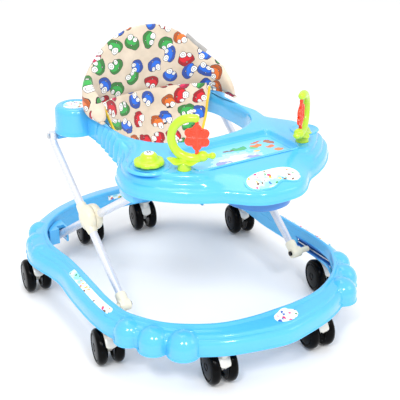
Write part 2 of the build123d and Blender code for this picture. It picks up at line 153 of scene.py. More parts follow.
def make(name, verts, faces, mat, body, slot, replaces=(), sharp=38, smooth=True):
    me = bpy.data.meshes.new(name)
    me.from_pydata([(v[0] * 0.001, v[1] * 0.001, v[2] * 0.001) for v in verts], [], faces)
    me.validate()
    me.polygons.foreach_set("use_smooth", [smooth] * len(me.polygons))
    me.update()
    if smooth and sharp:
        me.set_sharp_from_angle(angle=radians(sharp))
    ob = bpy.data.objects.new(name, me)
    scene.collection.objects.link(ob)
    for m in (mat if isinstance(mat, (list, tuple)) else [mat]):
        me.materials.append(m)
    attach(ob, body)
    if replaces:
        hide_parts(*replaces)
    return ob


def outward(me):
    import bmesh
    bm = bmesh.new()
    bm.from_mesh(me)
    bmesh.ops.recalc_face_normals(bm, faces=bm.faces)
    bm.to_mesh(me)
    bm.free()


def fixed(ob):
    outward(ob.data)
    return ob


def lathe(profile, origin, axis, segs=48, ref=None):
    """(verts, faces) of the profile [(r, h)] turned about an axis."""
    axis = Vector(axis).normalized()
    ref = Vector(ref) if ref else (Vector((0, 0, 1)) if abs(axis.z) < 0.9 else Vector((1, 0, 0)))
    u = (ref - axis * ref.dot(axis)).normalized()
    v = axis.cross(u)
    verts, rows = [], []
    for r, h in profile:
        c = Vector(origin) + axis * h
        if r < 1e-6:
            rows.append([len(verts)] * segs)
            verts.append(tuple(c))
        else:
            rows.append(list(range(len(verts), len(verts) + segs)))
            for k in range(segs):
                a = 2 * pi * k / segs
                verts.append(tuple(c + (u * cos(a) + v * sin(a)) * r))
    faces = []
    for a, b in zip(rows, rows[1:]):
        for k in range(segs):
            f = [a[k], a[(k + 1) % segs], b[(k + 1) % segs], b[k]]
            f = [x for i, x in enumerate(f) if x not in f[:i]]
            if len(f) > 2:
                faces.append(f)
    for row, flip in ((rows[0], True), (rows[-1], False)):
        if len(set(row)) == segs:
            faces.append(list(reversed(row)) if flip else row)
    return verts, faces


def tube(points, radius, segs=24, cap=True, ref=(1, 0, 0), flat=None):
    """(verts, faces) of a round bar along points; radius is a number or one per point."""
    P = [Vector(p) for p in points]
    n = len(P)
    R = radius if isinstance(radius, (list, tuple)) else [radius] * n
    verts, faces, u = [], [], None
    for i in range(n):
        t = (P[min(i + 1, n - 1)] - P[max(i - 1, 0)]).normalized()
        if u is None:
            ref = Vector(ref)
            if abs(t.dot(ref)) > 0.95:
                ref = Vector((0, 1, 0))
            u = (ref - t * ref.dot(t)).normalized()
        else:
            u = (u - t * u.dot(t)).normalized()
        v = t.cross(u)
        ku, kv = flat[i] if flat else (1, 1)
        for k in range(segs):
            a = 2 * pi * k / segs
            verts.append(tuple(P[i] + (u * cos(a) * ku + v * sin(a) * kv) * R[i]))
    for i in range(n - 1):
        for k in range(segs):
            a, b = i * segs + k, i * segs + (k + 1) % segs
            faces.append([a, b, b + segs, a + segs])
    if cap:
        faces.append(list(range(segs))[::-1])
        faces.append([(n - 1) * segs + k for k in range(segs)])
    return verts, faces


def join(*parts):
    verts, faces = [], []
    for v, f in parts:
        o = len(verts)
        verts += list(v)
        faces += [[i + o for i in face] for face in f]
    return verts, faces


def flip_x(part):
    v, f = part
    return [(-x, y, z) for x, y, z in v], [list(reversed(face)) for face in f]


def loops(rows, wrap=True, skip=None, cap=False):
    """(verts, faces) of closed loops joined row to row."""
    n = len(rows[0])
    verts = [p for row in rows for p in row]
    faces = []
    m = len(rows)
    for j in range(m if wrap else m - 1):
        a, b = j * n, ((j + 1) % m) * n
        for i in range(n):
            if skip and skip(j, i):
                continue
            k = (i + 1) % n
            faces.append([a + i, a + k, b + k, b + i])
    if cap:
        faces.append(list(range(n))[::-1])
        faces.append([(m - 1) * n + i for i in range(n)])
    return verts, faces


def rounded_rect(x0, x1, y0, y1, r, n=8):
    pts = []
    for cx, cy, a0 in ((x1 - r, y1 - r, 0), (x0 + r, y1 - r, 90), (x0 + r, y0 + r, 180), (x1 - r, y0 + r, 270)):
        for k in range(n + 1):
            a = radians(a0 + 90 * k / n)
            pts.append((cx + r * cos(a), cy + r * sin(a)))
    return pts


def bvh_of(ob):
    me = ob.data
    return BVHTree.FromPolygons([v.co * 1000 for v in me.vertices], [list(p.vertices) for p in me.polygons])


def drop(bvh, x, y, top=460.0):
    hit = bvh.ray_cast(Vector((x, y, top)), Vector((0, 0, -1)))
    return hit[0].z if hit[0] else None


# ---------------------------------------------------------------- materials
class Mat:
    """Short-hand for a node material."""

    def __init__(self, name):
        self.m = bpy.data.materials.new(name)
        self.m.use_nodes = True
        self.nt = self.m.node_tree
        self.b = self.nt.nodes["Principled BSDF"]
        self.tc = self.nt.nodes.new("ShaderNodeTexCoord")

    def new(self, kind, **kw):
        n = self.nt.nodes.new(kind)
        for k, v in kw.items():
            setattr(n, k, v)
        return n

    def link(self, a, b):
        self.nt.links.new(a, b)

    def noise(self, scale, detail=3.0, rough=0.5, vec=None):
        n = self.new("ShaderNodeTexNoise")
        n.inputs["Scale"].default_value = scale
        n.inputs["Detail"].default_value = detail
        n.inputs["Roughness"].default_value = rough
        self.link(vec or self.tc.outputs["Object"], n.inputs["Vector"])
        return n

    def ramp(self, src, stops, kind="LINEAR"):
        r = self.new("ShaderNodeValToRGB")
        r.color_ramp.interpolation = kind
        el = r.color_ramp.elements
        while len(el) < len(stops):
            el.new(0.5)
        for e, (p, c) in zip(el, stops):
            e.position = p
            e.color = (c[0], c[1], c[2], 1) if len(c) == 3 else c
        self.link(src, r.inputs["Fac"])
        return r

    def math(self, op, a, b=None, c=None, clamp=False):
        n = self.new("ShaderNodeMath", operation=op, use_clamp=clamp)
        for i, v in enumerate((a, b, c)):
            if v is None:
                continue
            if isinstance(v, (int, float)):
                n.inputs[i].default_value = v
            else:
                self.link(v, n.inputs[i])
        return n.outputs[0]

    def mix(self, fac, a, b):
        n = self.new("ShaderNodeMix", data_type="RGBA")
        if isinstance(fac, (int, float)):
            n.inputs[0].default_value = fac
        else:
            self.link(fac, n.inputs[0])
        for i, v in ((6, a), (7, b)):
            if isinstance(v, tuple):
                n.inputs[i].default_value = (v[0], v[1], v[2], 1)
            else:
                self.link(v, n.inputs[i])
        return n.outputs[2]

    def bump(self, height, strength, dist, normal=None):
        n = self.new("ShaderNodeBump")
        n.inputs["Strength"].default_value = strength
        n.inputs["Distance"].default_value = dist
        self.link(height, n.inputs["Height"])
        if normal:
            self.link(normal, n.inputs["Normal"])
        return n.outputs["Normal"]

    def rough(self, src, lo, hi):
        r = self.new("ShaderNodeMapRange")
        r.inputs["To Min"].default_value = lo
        r.inputs["To Max"].default_value = hi
        self.link(src, r.inputs["Value"])
        self.link(r.outputs[0], self.b.inputs["Roughness"])


def srgb(r, g, b):
    f = lambda c: (c / 255 / 12.92) if c / 255 <= 0.04045 else ((c / 255 + 0.055) / 1.055) ** 2.4
    return (f(r), f(g), f(b))


def shade(c, k):
    return tuple(min(1.0, x * k) for x in c)


def plastic(name, colour, rough=(0.16, 0.30), coat=0.25, sss=0.0, grain=0.00005, vary=0.10):
    """Moulded plastic: slight flow marks, fine skin texture, a few scuffs."""
    m = Mat(name)
    flow = m.noise(9.0, 3.0, 0.5)
    col = m.ramp(flow.outputs["Fac"], [(0.3, shade(colour, 1 - vary)), (0.7, shade(colour, 1 + vary * 0.6))])
    scuff = m.noise(140.0, 6.0, 0.7)
    mask = m.math("GREATER_THAN", scuff.outputs["Fac"], 0.69)
    c2 = m.mix(m.math("MULTIPLY", mask, 0.20), col.outputs[0], shade(colour, 0.72))
    m.link(c2, m.b.inputs["Base Color"])
    fine = m.noise(900.0, 2.0, 0.6)
    m.rough(m.math("ADD", m.math("MULTIPLY", flow.outputs["Fac"], 0.6), m.math("MULTIPLY", fine.outputs["Fac"], 0.4)), *rough)
    m.link(m.bump(fine.outputs["Fac"], 0.25, grain), m.b.inputs["Normal"])
    m.b.inputs["Coat Weight"].default_value = coat
    m.b.inputs["Coat Roughness"].default_value = 0.10
    if sss:
        m.b.inputs["Subsurface Weight"].default_value = sss
        m.b.inputs["Subsurface Radius"].default_value = (0.006, 0.006, 0.008)
    return m.m


def metal(name, colour, rough=(0.18, 0.34), metallic=1.0, scale=(400, 400, 12)):
    m = Mat(name)
    mp = m.new("ShaderNodeMapping")
    mp.inputs["Scale"].default_value = scale
    m.link(m.tc.outputs["Object"], mp.inputs["Vector"])
    n = m.noise(3.0, 4.0, 0.6, mp.outputs[0])
    col = m.ramp(n.outputs["Fac"], [(0.3, shade(colour, 0.88)), (0.7, shade(colour, 1.05))])
    m.link(col.outputs[0], m.b.inputs["Base Color"])
    m.b.inputs["Metallic"].default_value = metallic
    m.rough(n.outputs["Fac"], *rough)
    m.link(m.bump(n.outputs["Fac"], 0.08, 0.00008), m.b.inputs["Normal"])
    return m.m


def label(name, base, density=0.62, scale=135.0, cool=True):
    """Printed sticker: scattered leaf- and pebble-like specks over a pale ground."""
    m = Mat(name)
    warp = m.noise(120.0, 2.0, 0.5)
    off = m.new("ShaderNodeVectorMath", operation="MULTIPLY_ADD")
    off.inputs[1].default_value = (0.010, 0.010, 0.010)
    m.link(warp.outputs["Color"], off.inputs[0])
    m.link(m.tc.outputs["Object"], off.inputs[2])
    vor = m.new("ShaderNodeTexVoronoi", voronoi_dimensions="3D")
    vor.inputs["Scale"].default_value = scale
    m.link(off.outputs[0], vor.inputs["Vector"])
    sep = m.new("ShaderNodeSeparateColor")
    m.link(vor.outputs["Color"], sep.inputs[0])
    pal = m.ramp(sep.outputs[0], [(0.0, srgb(225, 60, 120)), (0.2, srgb(240, 120, 40)), (0.38, srgb(60, 150, 80)),
                                  (0.55, srgb(70, 110, 190)), (0.72, srgb(120, 80, 50)), (0.88, srgb(245, 200, 60))], "CONSTANT")
    dist = m.math("LESS_THAN", vor.outputs["Distance"], 0.40)
    keep = m.math("LESS_THAN", sep.outputs[1], density)
    region = m.noise(28.0, 2.0, 0.5)
    here = m.math("GREATER_THAN", region.outputs["Fac"], 0.33)
    mask = m.math("MULTIPLY", m.math("MULTIPLY", dist, keep), here)
    wave = m.noise(22.0, 3.0, 0.6)
    ground = m.ramp(wave.outputs["Fac"], [(0.38, base), (0.50, shade(base, 1.12)), (0.60, srgb(150, 225, 235) if cool else base)])
    c = m.mix(mask, ground.outputs[0], pal.outputs[0])
    m.link(c, m.b.inputs["Base Color"])
    fine = m.noise(1200.0, 2.0, 0.5)
    m.rough(fine.outputs["Fac"], 0.20, 0.34)
    m.link(m.bump(fine.outputs["Fac"], 0.15, 0.00004), m.b.inputs["Normal"])
    return m.m


def picture(name):
    """Printed play panel: a pond, waves, stones and leaves, all plain shapes."""
    m = Mat(name)
    blue = srgb(126, 206, 246)
    warp = m.noise(55.0, 2.0, 0.5)
    off = m.new("ShaderNodeVectorMath", operation="MULTIPLY_ADD")
    off.inputs[1].default_value = (0.020, 0.020, 0.0)
    m.link(warp.outputs["Color"], off.inputs[0])
    m.link(m.tc.outputs["Object"], off.inputs[2])
    sepx = m.new("ShaderNodeSeparateXYZ")
    m.link(off.outputs[0], sepx.inputs[0])
    x, y = sepx.outputs[0], sepx.outputs[1]
    # a lilac pond at the front of the panel
    def spot(cx, cy, rx, ry):
        """Distance from an ellipse's middle, 1 on its edge (mm)."""
        a_ = m.math("DIVIDE", m.math("SUBTRACT", x, cx * 0.001), rx * 0.001)
        b_ = m.math("DIVIDE", m.math("SUBTRACT", y, cy * 0.001), ry * 0.001)
        return m.math("SQRT", m.math("ADD", m.math("MULTIPLY", a_, a_), m.math("MULTIPLY", b_, b_)))

    ripple = m.noise(95.0, 2.0, 0.5)
    wob = m.math("MULTIPLY", m.math("SUBTRACT", ripple.outputs["Fac"], 0.5), 0.9)
    c = m.mix(m.math("LESS_THAN", m.math("ADD", spot(-1, -194, 56, 33), wob), 1.0), blue, srgb(176, 226, 250))
    c = m.mix(m.math("LESS_THAN", m.math("ADD", spot(0, -199, 46, 24), wob), 1.0), c, srgb(226, 236, 250))
    for cx, cy, rx, ry in ((-33, -204, 17, 20), (27, -205, 19, 19), (-6, -213, 24, 8)):
        c = m.mix(m.math("LESS_THAN", m.math("ADD", spot(cx, cy, rx, ry), wob), 1.0), c, srgb(150, 158, 214))
    for cx, cy, rx, ry in ((-26, -200, 6, 7), (17, -199, 7, 6)):
        c = m.mix(m.math("LESS_THAN", m.math("ADD", spot(cx, cy, rx, ry), wob), 1.0), c, srgb(200, 210, 240))
    for cx, cy, rx, ry, col in ((31, -150, 17, 8, (70, 176, 120)), (52, -158, 9, 5, (96, 190, 120)), (66, -151, 13, 6, (226, 128, 60)),
                                (84, -168, 10, 7, (226, 120, 66)), (92, -187, 9, 6, (214, 140, 90)), (96, -148, 7, 12, (176, 104, 60)),
                                (-86, -134, 16, 5, (190, 150, 200)), (-64, -140, 9, 4, (224, 150, 160)), (4, -150, 9, 5, (120, 100, 90)),
                                (52, -176, 8, 4, (240, 196, 90)), (76, -140, 12, 3, (200, 110, 70))):
        c = m.mix(m.math("LESS_THAN", m.math("ADD", spot(cx, cy, rx, ry), m.math("MULTIPLY", wob, 1.6)), 1.0), c, srgb(*col))
    m.link(c, m.b.inputs["Base Color"])
    fine = m.noise(1000.0, 2.0, 0.5)
    m.rough(fine.outputs["Fac"], 0.18, 0.30)
    m.link(m.bump(fine.outputs["Fac"], 0.15, 0.00004), m.b.inputs["Normal"])
    return m.m


def fabric(name, cell=0.0385):
    """Woven cotton with a generic pebble-and-bubble print, read from the piece's own cloth_uv."""
    m = Mat(name)
    at = m.new("ShaderNodeAttribute", attribute_name="cloth_uv")
    warp = m.noise(38.0, 1.5, 0.4, at.outputs["Vector"])
    off = m.new("ShaderNodeVectorMath", operation="MULTIPLY_ADD")
    off.inputs[1].default_value = (0.010, 0.010, 0.0)
    m.link(warp.outputs["Color"], off.inputs[0])
    m.link(at.outputs["Vector"], off.inputs[2])
    sc = m.new("ShaderNodeVectorMath", operation="SCALE")
    sc.inputs[3].default_value = 1.0 / cell
    m.link(off.outputs[0], sc.inputs[0])
    vor = m.new("ShaderNodeTexVoronoi", voronoi_dimensions="2D")
    vor.inputs["Scale"].default_value = 1.0
    vor.inputs["Randomness"].default_value = 0.55
    m.link(sc.outputs[0], vor.inputs["Vector"])
    loc = m.new("ShaderNodeVectorMath", operation="SUBTRACT")
    m.link(sc.outputs[0], loc.inputs[0])
    m.link(vor.outputs["Position"], loc.inputs[1])
    sep = m.new("ShaderNodeSeparateColor")
    m.link(vor.outputs["Color"], sep.inputs[0])
    rot = m.new("ShaderNodeVectorRotate", rotation_type="Z_AXIS")
    m.link(loc.outputs[0], rot.inputs["Vector"])
    m.link(m.math("MULTIPLY", sep.outputs[2], 6.283), rot.inputs["Angle"])
    s = m.new("ShaderNodeSeparateXYZ")
    m.link(rot.outputs[0], s.inputs[0])
    lx, ly = s.outputs[0], s.outputs[1]

    def circle(cx, cy, kx=1.0, ky=1.0):
        a = m.math("MULTIPLY", m.math("SUBTRACT", lx, cx), kx)
        b = m.math("MULTIPLY", m.math("SUBTRACT", ly, cy), ky)
        return m.math("SQRT", m.math("ADD", m.math("MULTIPLY", a, a), m.math("MULTIPLY", b, b)))

    body = circle(0, 0, 0.82, 1.08)
    pal = m.ramp(sep.outputs[0], [(0.0, srgb(38, 110, 222)), (0.27, srgb(218, 34, 46)), (0.50, srgb(60, 170, 80)),
                                  (0.72, srgb(238, 116, 40)), (0.88, srgb(222, 48, 96))], "CONSTANT")
    dark = m.mix(0.55, pal.outputs[0], srgb(60, 25, 30))
    ground_n = m.noise(30.0, 3.0, 0.6)
    ground = m.ramp(ground_n.outputs["Fac"], [(0.3, srgb(206, 188, 166)), (0.7, srgb(226, 209, 188))])
    c = m.mix(m.math("LESS_THAN", body, 0.375), ground.outputs[0], srgb(40, 32, 36))
    c = m.mix(m.math("LESS_THAN", body, 0.345), c, pal.outputs[0])
    crescent = m.math("MULTIPLY", m.math("LESS_THAN", body, 0.335), m.math("GREATER_THAN", circle(0.03, 0.12, 0.9, 1.1), 0.29))
    c = m.mix(crescent, c, dark)
    for cx, cy, r in ((0.15, 0.26, 0.185), (-0.18, 0.20, 0.135), (-0.05, -0.16, 0.050)):
        d = circle(cx, cy)
        c = m.mix(m.math("LESS_THAN", d, r), c, srgb(45, 38, 42))
        c = m.mix(m.math("LESS_THAN", d, r - 0.026), c, srgb(250, 248, 244))
        ring = m.math("MULTIPLY", m.math("LESS_THAN", d, r * 0.50), m.math("GREATER_THAN", d, r * 0.34))
        c = m.mix(m.math("MULTIPLY", ring, 0.75), c, srgb(60, 55, 60))
    m.link(c, m.b.inputs["Base Color"])
    # weave: two crossing waves of about 0.9 mm, with a soft slub
    w1 = m.new("ShaderNodeTexWave", wave_type="BANDS", bands_direction="X")
    w1.inputs["Scale"].default_value = 340.0
    w1.inputs["Distortion"].default_value = 0.6
    m.link(at.outputs["Vector"], w1.inputs["Vector"])
    w2 = m.new("ShaderNodeTexWave", wave_type="BANDS", bands_direction="Y")
    w2.inputs["Scale"].default_value = 340.0
    w2.inputs["Distortion"].default_value = 0.6
    m.link(at.outputs["Vector"], w2.inputs["Vector"])
    weave = m.math("MULTIPLY", w1.outputs["Fac"], w2.outputs["Fac"])
    slub = m.noise(220.0, 3.0, 0.6)
    nrm = m.bump(weave, 0.35, 0.00035)
    nrm = m.bump(slub.outputs["Fac"], 0.30, 0.0006, nrm)
    m.link(nrm, m.b.inputs["Normal"])
    m.rough(slub.outputs["Fac"], 0.78, 0.92)
    m.b.inputs["Sheen Weight"].default_value = 0.25
    m.b.inputs["Sheen Roughness"].default_value = 0.5
    return m.m


def ribbon(name, colour):
    m = Mat(name)
    w = m.new("ShaderNodeTexWave", wave_type="BANDS", bands_direction="DIAGONAL")
    w.inputs["Scale"].default_value = 300.0
    w.inputs["Distortion"].default_value = 1.0
    m.link(m.tc.outputs["Object"], w.inputs["Vector"])
    n = m.noise(60.0, 3.0, 0.6)
    c = m.ramp(n.outputs["Fac"], [(0.3, shade(colour, 0.82)), (0.7, shade(colour, 1.06))])
    m.link(c.outputs[0], m.b.inputs["Base Color"])
    m.rough(n.outputs["Fac"], 0.66, 0.85)
    m.link(m.bump(w.outputs["Fac"], 0.4, 0.0004), m.b.inputs["Normal"])
    m.b.inputs["Sheen Weight"].default_value = 0.2
    return m.m


BLUE = srgb(82, 186, 241)
M_BLUE = plastic("sky_blue_plastic", BLUE, rough=(0.13, 0.22), coat=0.5, sss=0.06, vary=0.05)
# painted shade: a darker copy of the sky-blue plastic for the sound box, which sits in the tray's shadow
M_BLUE_PAINTED_SHADE = plastic("sound_box_plastic_painted_shade", srgb(52, 128, 205), rough=(0.22, 0.36))
# painted shade: a dark navy copy of the blue plastic for the channels behind the ring's windows
M_RECESS_PAINTED_SHADE = plastic("rail_recess_painted_shade", srgb(28, 108, 196), rough=(0.25, 0.40))
M_GREEN = plastic("lime_plastic", srgb(182, 222, 42), rough=(0.16, 0.28), coat=0.3, sss=0.10)
M_RED = plastic("orange_red_plastic", srgb(250, 62, 20), rough=(0.18, 0.30), coat=0.3, sss=0.08)
M_CREAM = plastic("cream_plastic", srgb(240, 232, 208), rough=(0.24, 0.38), sss=0.10)
M_FORK = plastic("fork_plastic", srgb(222, 220, 212), rough=(0.20, 0.34), sss=0.12)
M_BLACK = plastic("black_wheel_plastic", (0.0012, 0.0012, 0.0015), rough=(0.14, 0.26), coat=0.0, vary=0.3)
M_BLACK.node_tree.nodes["Principled BSDF"].inputs["Specular IOR Level"].default_value = 0.08
M_WHITE = plastic("white_cap_plastic", srgb(245, 245, 242), rough=(0.2, 0.3))
M_TUBE = metal("white_silver_tube", srgb(226, 228, 236), rough=(0.22, 0.36), metallic=0.35)
M_STEEL = metal("steel", srgb(205, 208, 212), rough=(0.15, 0.3))
M_BOLT = metal("dark_bolt", srgb(40, 40, 44), rough=(0.3, 0.45))
M_LABEL = label("printed_label", srgb(236, 246, 250))
M_LABEL_OVAL = label("printed_oval_label", srgb(246, 248, 250), density=0.55, scale=120.0, cool=False)
M_PICTURE = picture("printed_play_panel")
M_FABRIC = fabric("pebble_print_cotton")
M_ORANGE_RIBBON = ribbon("orange_piping", srgb(240, 150, 60))
M_YELLOW_RIBBON = ribbon("yellow_binding", srgb(245, 205, 50))
M_BOARD = ribbon("fibre_board", srgb(150, 120, 90))
M_GREY_STRIP = ribbon("grey_hem_strip", srgb(176, 172, 168))


def repaint(mat, *names):
    for n in names:
        me = NODES[n].data
        if len(me.materials) == 0:
            me.materials.append(mat)
        for i in range(len(me.materials)):
            me.materials[i] = mat
        me.polygons.foreach_set("use_smooth", [True] * len(me.polygons))
        me.set_sharp_from_angle(angle=radians(30))


def soften(width, *names):
    for n in names:
        b = NODES[n].modifiers.new("bevel", "BEVEL")
        b.width = width
        b.segments = 3
        b.limit_method = "ANGLE"
        b.angle_limit = radians(40)


repaint(M_BLUE, "caster_sockets", "rear_brackets")
repaint(M_STEEL, "rear_pivot_pins", "slide_rails", "hub_pins", "ear_pins", "flower_pin_left", "flower_pin_right", "knob_spring")
repaint(M_BOLT, "foot_bolts")
repaint(M_BLUE, "tray_channels")
# painted shade: the sound box parts take the darker blue
repaint(M_BLUE_PAINTED_SHADE, "sound_box", "sound_box_speaker")
repaint(M_BOARD, "seat_board")
repaint(M_CREAM, "sling_hooks")
repaint(M_STEEL, *["caster_axle_%d" % i for i in range(1, 9)])

# ---------------------------------------------------------------- base ring
N = 900
RO, RI = Outline(RING_OUT, N), Outline(RING_IN, N)
ANG = [-pi + 2 * pi * i / N for i in range(N)]


def ring_row(kind, d, z, up=0.0, shift=None):
    """One loop of the ring's section. up is not used."""
    if kind == "o":
        rad = RO.radii(-d)
    elif kind == "i":
        rad = RI.radii(d)
    else:
        a, b = RO.radii(-20.0), RI.radii(9.0)
        rad = [p + (q - p) * d for p, q in zip(a, b)]
    row = []
    for i, a in enumerate(ANG):
        r = rad[i] + (shift(a) if shift else 0.0)
        row.append([r * cos(a), r * sin(a), z])
    return row


def bulge(row, up, grow=0.0):
    """Pushes the points that lie inside a corner bulge out to its surface."""
    ch, cv = cos(radians(up)), sin(radians(up))
    for p in row:
        for bx, by, br in BUMPS:
            for s in (1, -1):
                bxs, r = s * bx, br + 2.0 + grow
                if abs(p[0] - bxs) > 40 or abs(p[1] - by) > 40:
                    continue
                ln = hypot(p[0], p[1])
                n = Vector((p[0] / ln * ch, p[1] / ln * ch, cv))
                cz = min(p[2], 93.0)
                q = Vector((p[0] - bxs, p[1] - by, p[2] - cz))
                if q.length >= r:
                    continue
                b = q.dot(n)
                disc = b * b - (q.length_squared - r * r)
                t = -b + sqrt(max(0.0, disc))
                p[0] += t * n.x
                p[1] += t * n.y
                p[2] += t * n.z
    return row


WIN_Y = (-202.0, -66.0)


def in_window(i):
    x, y = RI.radii(0.0)[i] * cos(ANG[i]), RI.radii(0.0)[i] * sin(ANG[i])
    return WIN_Y[0] < y < WIN_Y[1] and abs(x) > 150


OUTER = [("o", 0.6, 78.0, 0), ("o", -1.2, 78.2, 0), ("o", -1.6, 79.2, 0), ("o", -1.2, 80.4, 0), ("o", 0.2, 81.4, 0),
         ("o", 0.2, 86.0, 0), ("o", 0.1, 91.0, 0), ("o", 0.2, 95.5, 0), ("o", 0.7, 99.0, 5), ("o", 1.7, 102.3, 20),
         ("o", 3.4, 105.2, 35), ("o", 6.0, 107.2, 50), ("o", 8.6, 108.0, 60), ("o", 9.6, 108.4, 60), ("o", 10.1, 109.4, 60),
         ("o", 10.6, 111.2, 60), ("o", 11.8, 112.8, 65), ("o", 13.8, 113.9, 70), ("o", 16.4, 114.6, 75),
         ("o", 20.0, 115.3, 80), ("m", 0.30, 116.6, 90), ("m", 0.60, 117.8, 90), ("m", 0.85, 118.4, 90), ("i", 9.0, 118.6, 90),
         ("i", 7.8, 118.9, 90), ("i", 7.1, 120.0, 90), ("i", 6.7, 122.6, 90), ("i", 5.8, 124.3, 90), ("i", 4.2, 125.0, 90),
         ("i", 2.2, 124.9, 90), ("i", 0.8, 124.0, 90), ("i", 0.1, 122.4, 90)]
rows = [bulge(ring_row(k, d, z), up, 0.0 if z > 81 else 1.2) for k, d, z, up in OUTER]
panel_in = lambda a: 0.0
for k, d, z in [("i", 0.0, 119.0), ("i", 0.0, 117.6), ("i", 0.9, 116.6), ("i", 0.9, 104.0), ("i", 0.0, 103.0),
                ("i", 0.0, 99.5), ("i", 0.0, 84.5), ("i", 0.0, 81.4), ("i", -0.9, 80.6), ("i", -0.9, 79.4), ("i", 0.6, 79.0),
                ("i", 2.4, 79.2), ("i", 3.0, 80.2), ("i", 3.0, 84.5), ("i", 3.0, 99.5), ("i", 3.2, 115.0), ("i", 6.0, 116.6),
                ("m", 0.4, 113.6), ("o", 17.0, 111.4), ("o", 13.6, 109.0), ("o", 9.0, 104.4), ("o", 5.0, 101.0), ("o", 3.4, 96.0), ("o", 3.2, 80.0)]:
    rows.append(ring_row(k, d, z))
J0 = len(OUTER)
JB, JA, JD, JC = J0 + 5, J0 + 6, J0 + 13, J0 + 14   # window rows: inner wall top/bottom, hollow side bottom/top
win = [in_window(i) and in_window((i + 1) % N) for i in range(N)]
v, f = loops(rows, wrap=True, skip=lambda j, i: win[i] and (j == JB or j == JD))
idx = lambda j, i: j * N + (i % N)
for i in range(N):
    if win[i]:
        f.append([idx(JB, i), idx(JB, i + 1), idx(JC, i + 1), idx(JC, i)])
        f.append([idx(JA, i), idx(JA, i + 1), idx(JD, i + 1), idx(JD, i)])
    if win[i] != win[i - 1]:
        f.append([idx(JA, i), idx(JB, i), idx(JC, i), idx(JD, i)])
ring = fixed(make("base_ring_moulding", v, f, M_BLUE, "base", "blue_plastic", ["base_ring"], sharp=32))
ring_bvh = bvh_of(ring)

# a channel behind each window, round the rail; its dark navy blue is painted shade inside the recess
for s, side_name in ((1, "right"), (-1, "left")):
    sec = [(234.6, 83.0), (248.0, 83.0), (248.0, 101.0), (234.6, 101.0), (234.6, 99.2), (246.2, 99.2), (246.2, 84.8), (234.6, 84.8)]
    ys = [-203 + 138 * k / 24 for k in range(25)]
    rr = []
    for y in ys:
        bow = 2.6 * (1 - ((y + 134) / 69) ** 2) - 2.6
        rr.append([(s * (x + (bow if x > 240 else 0.0)), y, z) for x, z in sec])
    rv, rf = loops(rr, wrap=False, cap=True)
    fixed(make("rail_channel_" + side_name, rv, rf, M_RECESS_PAINTED_SHADE, "base", "blue_plastic", sharp=30))


def patch(name, outline, fmap, bvh, mat, body, slot, lift=0.4, rings=14, thick=0.7, replaces=()):
    """Thin sticker lying on a surface. outline is in (a, b), fmap gives (x, y)."""
    n = len(outline)
    cx = sum(p[0] for p in outline) / n
    cy = sum(p[1] for p in outline) / n
    vv, ff = [], []
    for k in range(rings, -1, -1):
        s = k / rings
        pts = outline if k else [outline[0]]
        for a, b in pts:
            x, y = fmap(cx + (a - cx) * s, cy + (b - cy) * s)
            z = drop(bvh, x, y) or 0.0
            vv.append((x, y, z + lift))
    for k in range(rings - 1):
        for i in range(n):
            j = (i + 1) % n
            ff.append([k * n + i, k * n + j, (k + 1) * n + j, (k + 1) * n + i])
    c = rings * n
    for i in range(n):
        ff.append([(rings - 1) * n + i, (rings - 1) * n + (i + 1) % n, c])
    base = len(vv)
    for i in range(n):
        vv.append((vv[i][0], vv[i][1], vv[i][2] - thick))
    for i in range(n):
        j = (i + 1) % n
        ff.append([base + i, base + j, j, i])
    return make(name, vv, ff, mat, body, slot, replaces, sharp=50)


def superellipse(a, b, n=48, p=2.0):
    pts = []
    for k in range(n):
        t = 2 * pi * k / n
        c, s = cos(t), sin(t)
        pts.append((a * abs(c) ** (2 / p) * (1 if c > 0 else -1), b * abs(s) ** (2 / p) * (1 if s > 0 else -1)))
    return pts


def on_side(s):
    """(along, across) to (x, y) on the ring's side: along is y, across is measured outwards from the middle line."""
    def f(a, b):
        y = -64.0 + a
        i = min(range(N), key=lambda q: (abs(RI.radii(0.0)[q] * sin(ANG[q]) - y) if cos(ANG[q]) * s > 0 else 1e9))
        xi = abs(RI.radii(0.0)[i] * cos(ANG[i]))
        j = min(range(N), key=lambda q: (abs(RO.radii(0.0)[q] * sin(ANG[q]) - y) if cos(ANG[q]) * s > 0 else 1e9))
        xo = abs(RO.radii(0.0)[j] * cos(ANG[j]))
        return s * (xi + 8.8 + 0.5 * (xo - xi - 20.0) + b), y
    return f


long_strip = rounded_rect(-88, 88, -6.6, 6.6, 5.0, 6)
strip_pts = []
for p, q in zip(long_strip, long_strip[1:] + long_strip[:1]):
    m = max(1, int(hypot(q[0] - p[0], q[1] - p[1]) / 8))
    strip_pts += [(p[0] + (q[0] - p[0]) * k / m, p[1] + (q[1] - p[1]) * k / m) for k in range(m)]
patch("side_sticker_left", strip_pts, on_side(-1), ring_bvh, M_LABEL, "base", "label", lift=0.35, rings=4)
patch("side_sticker_right", strip_pts, on_side(1), ring_bvh, M_LABEL, "base", "label", lift=0.35, rings=4)
th = radians(3)
patch("front_sticker", superellipse(25, 14.0, 48, 2.2),
      lambda a, b: (12 + a * cos(th) - b * sin(th), -330.5 + a * sin(th) + b * cos(th)), ring_bvh, M_LABEL_OVAL, "base", "label", lift=0.35, rings=8)

# small strip on the rear inner wall
rs = []
for z_, off_ in ((103.0, 0.0), (103.4, 0.5), (113.6, 0.5), (114.0, 0.0)):
    rs.append([])
    for k in range(25):
        ang = pi / 2 + (k / 24 - 0.5) * 0.135 + 0.02
        i_ = int(round((ang + pi) / (2 * pi) * N)) % N
        r_ = RI.radii(0.9)[i_] - off_
        rs[-1].append((r_ * cos(ang), r_ * sin(ang), z_))
sv = [p for row in rs for p in row]
sf = [[j * 25 + k, j * 25 + k + 1, (j + 1) * 25 + k + 1, (j + 1) * 25 + k] for j in range(3) for k in range(24)]
make("rear_strip_sticker", sv, sf, M_LABEL, "base", "label", sharp=50)

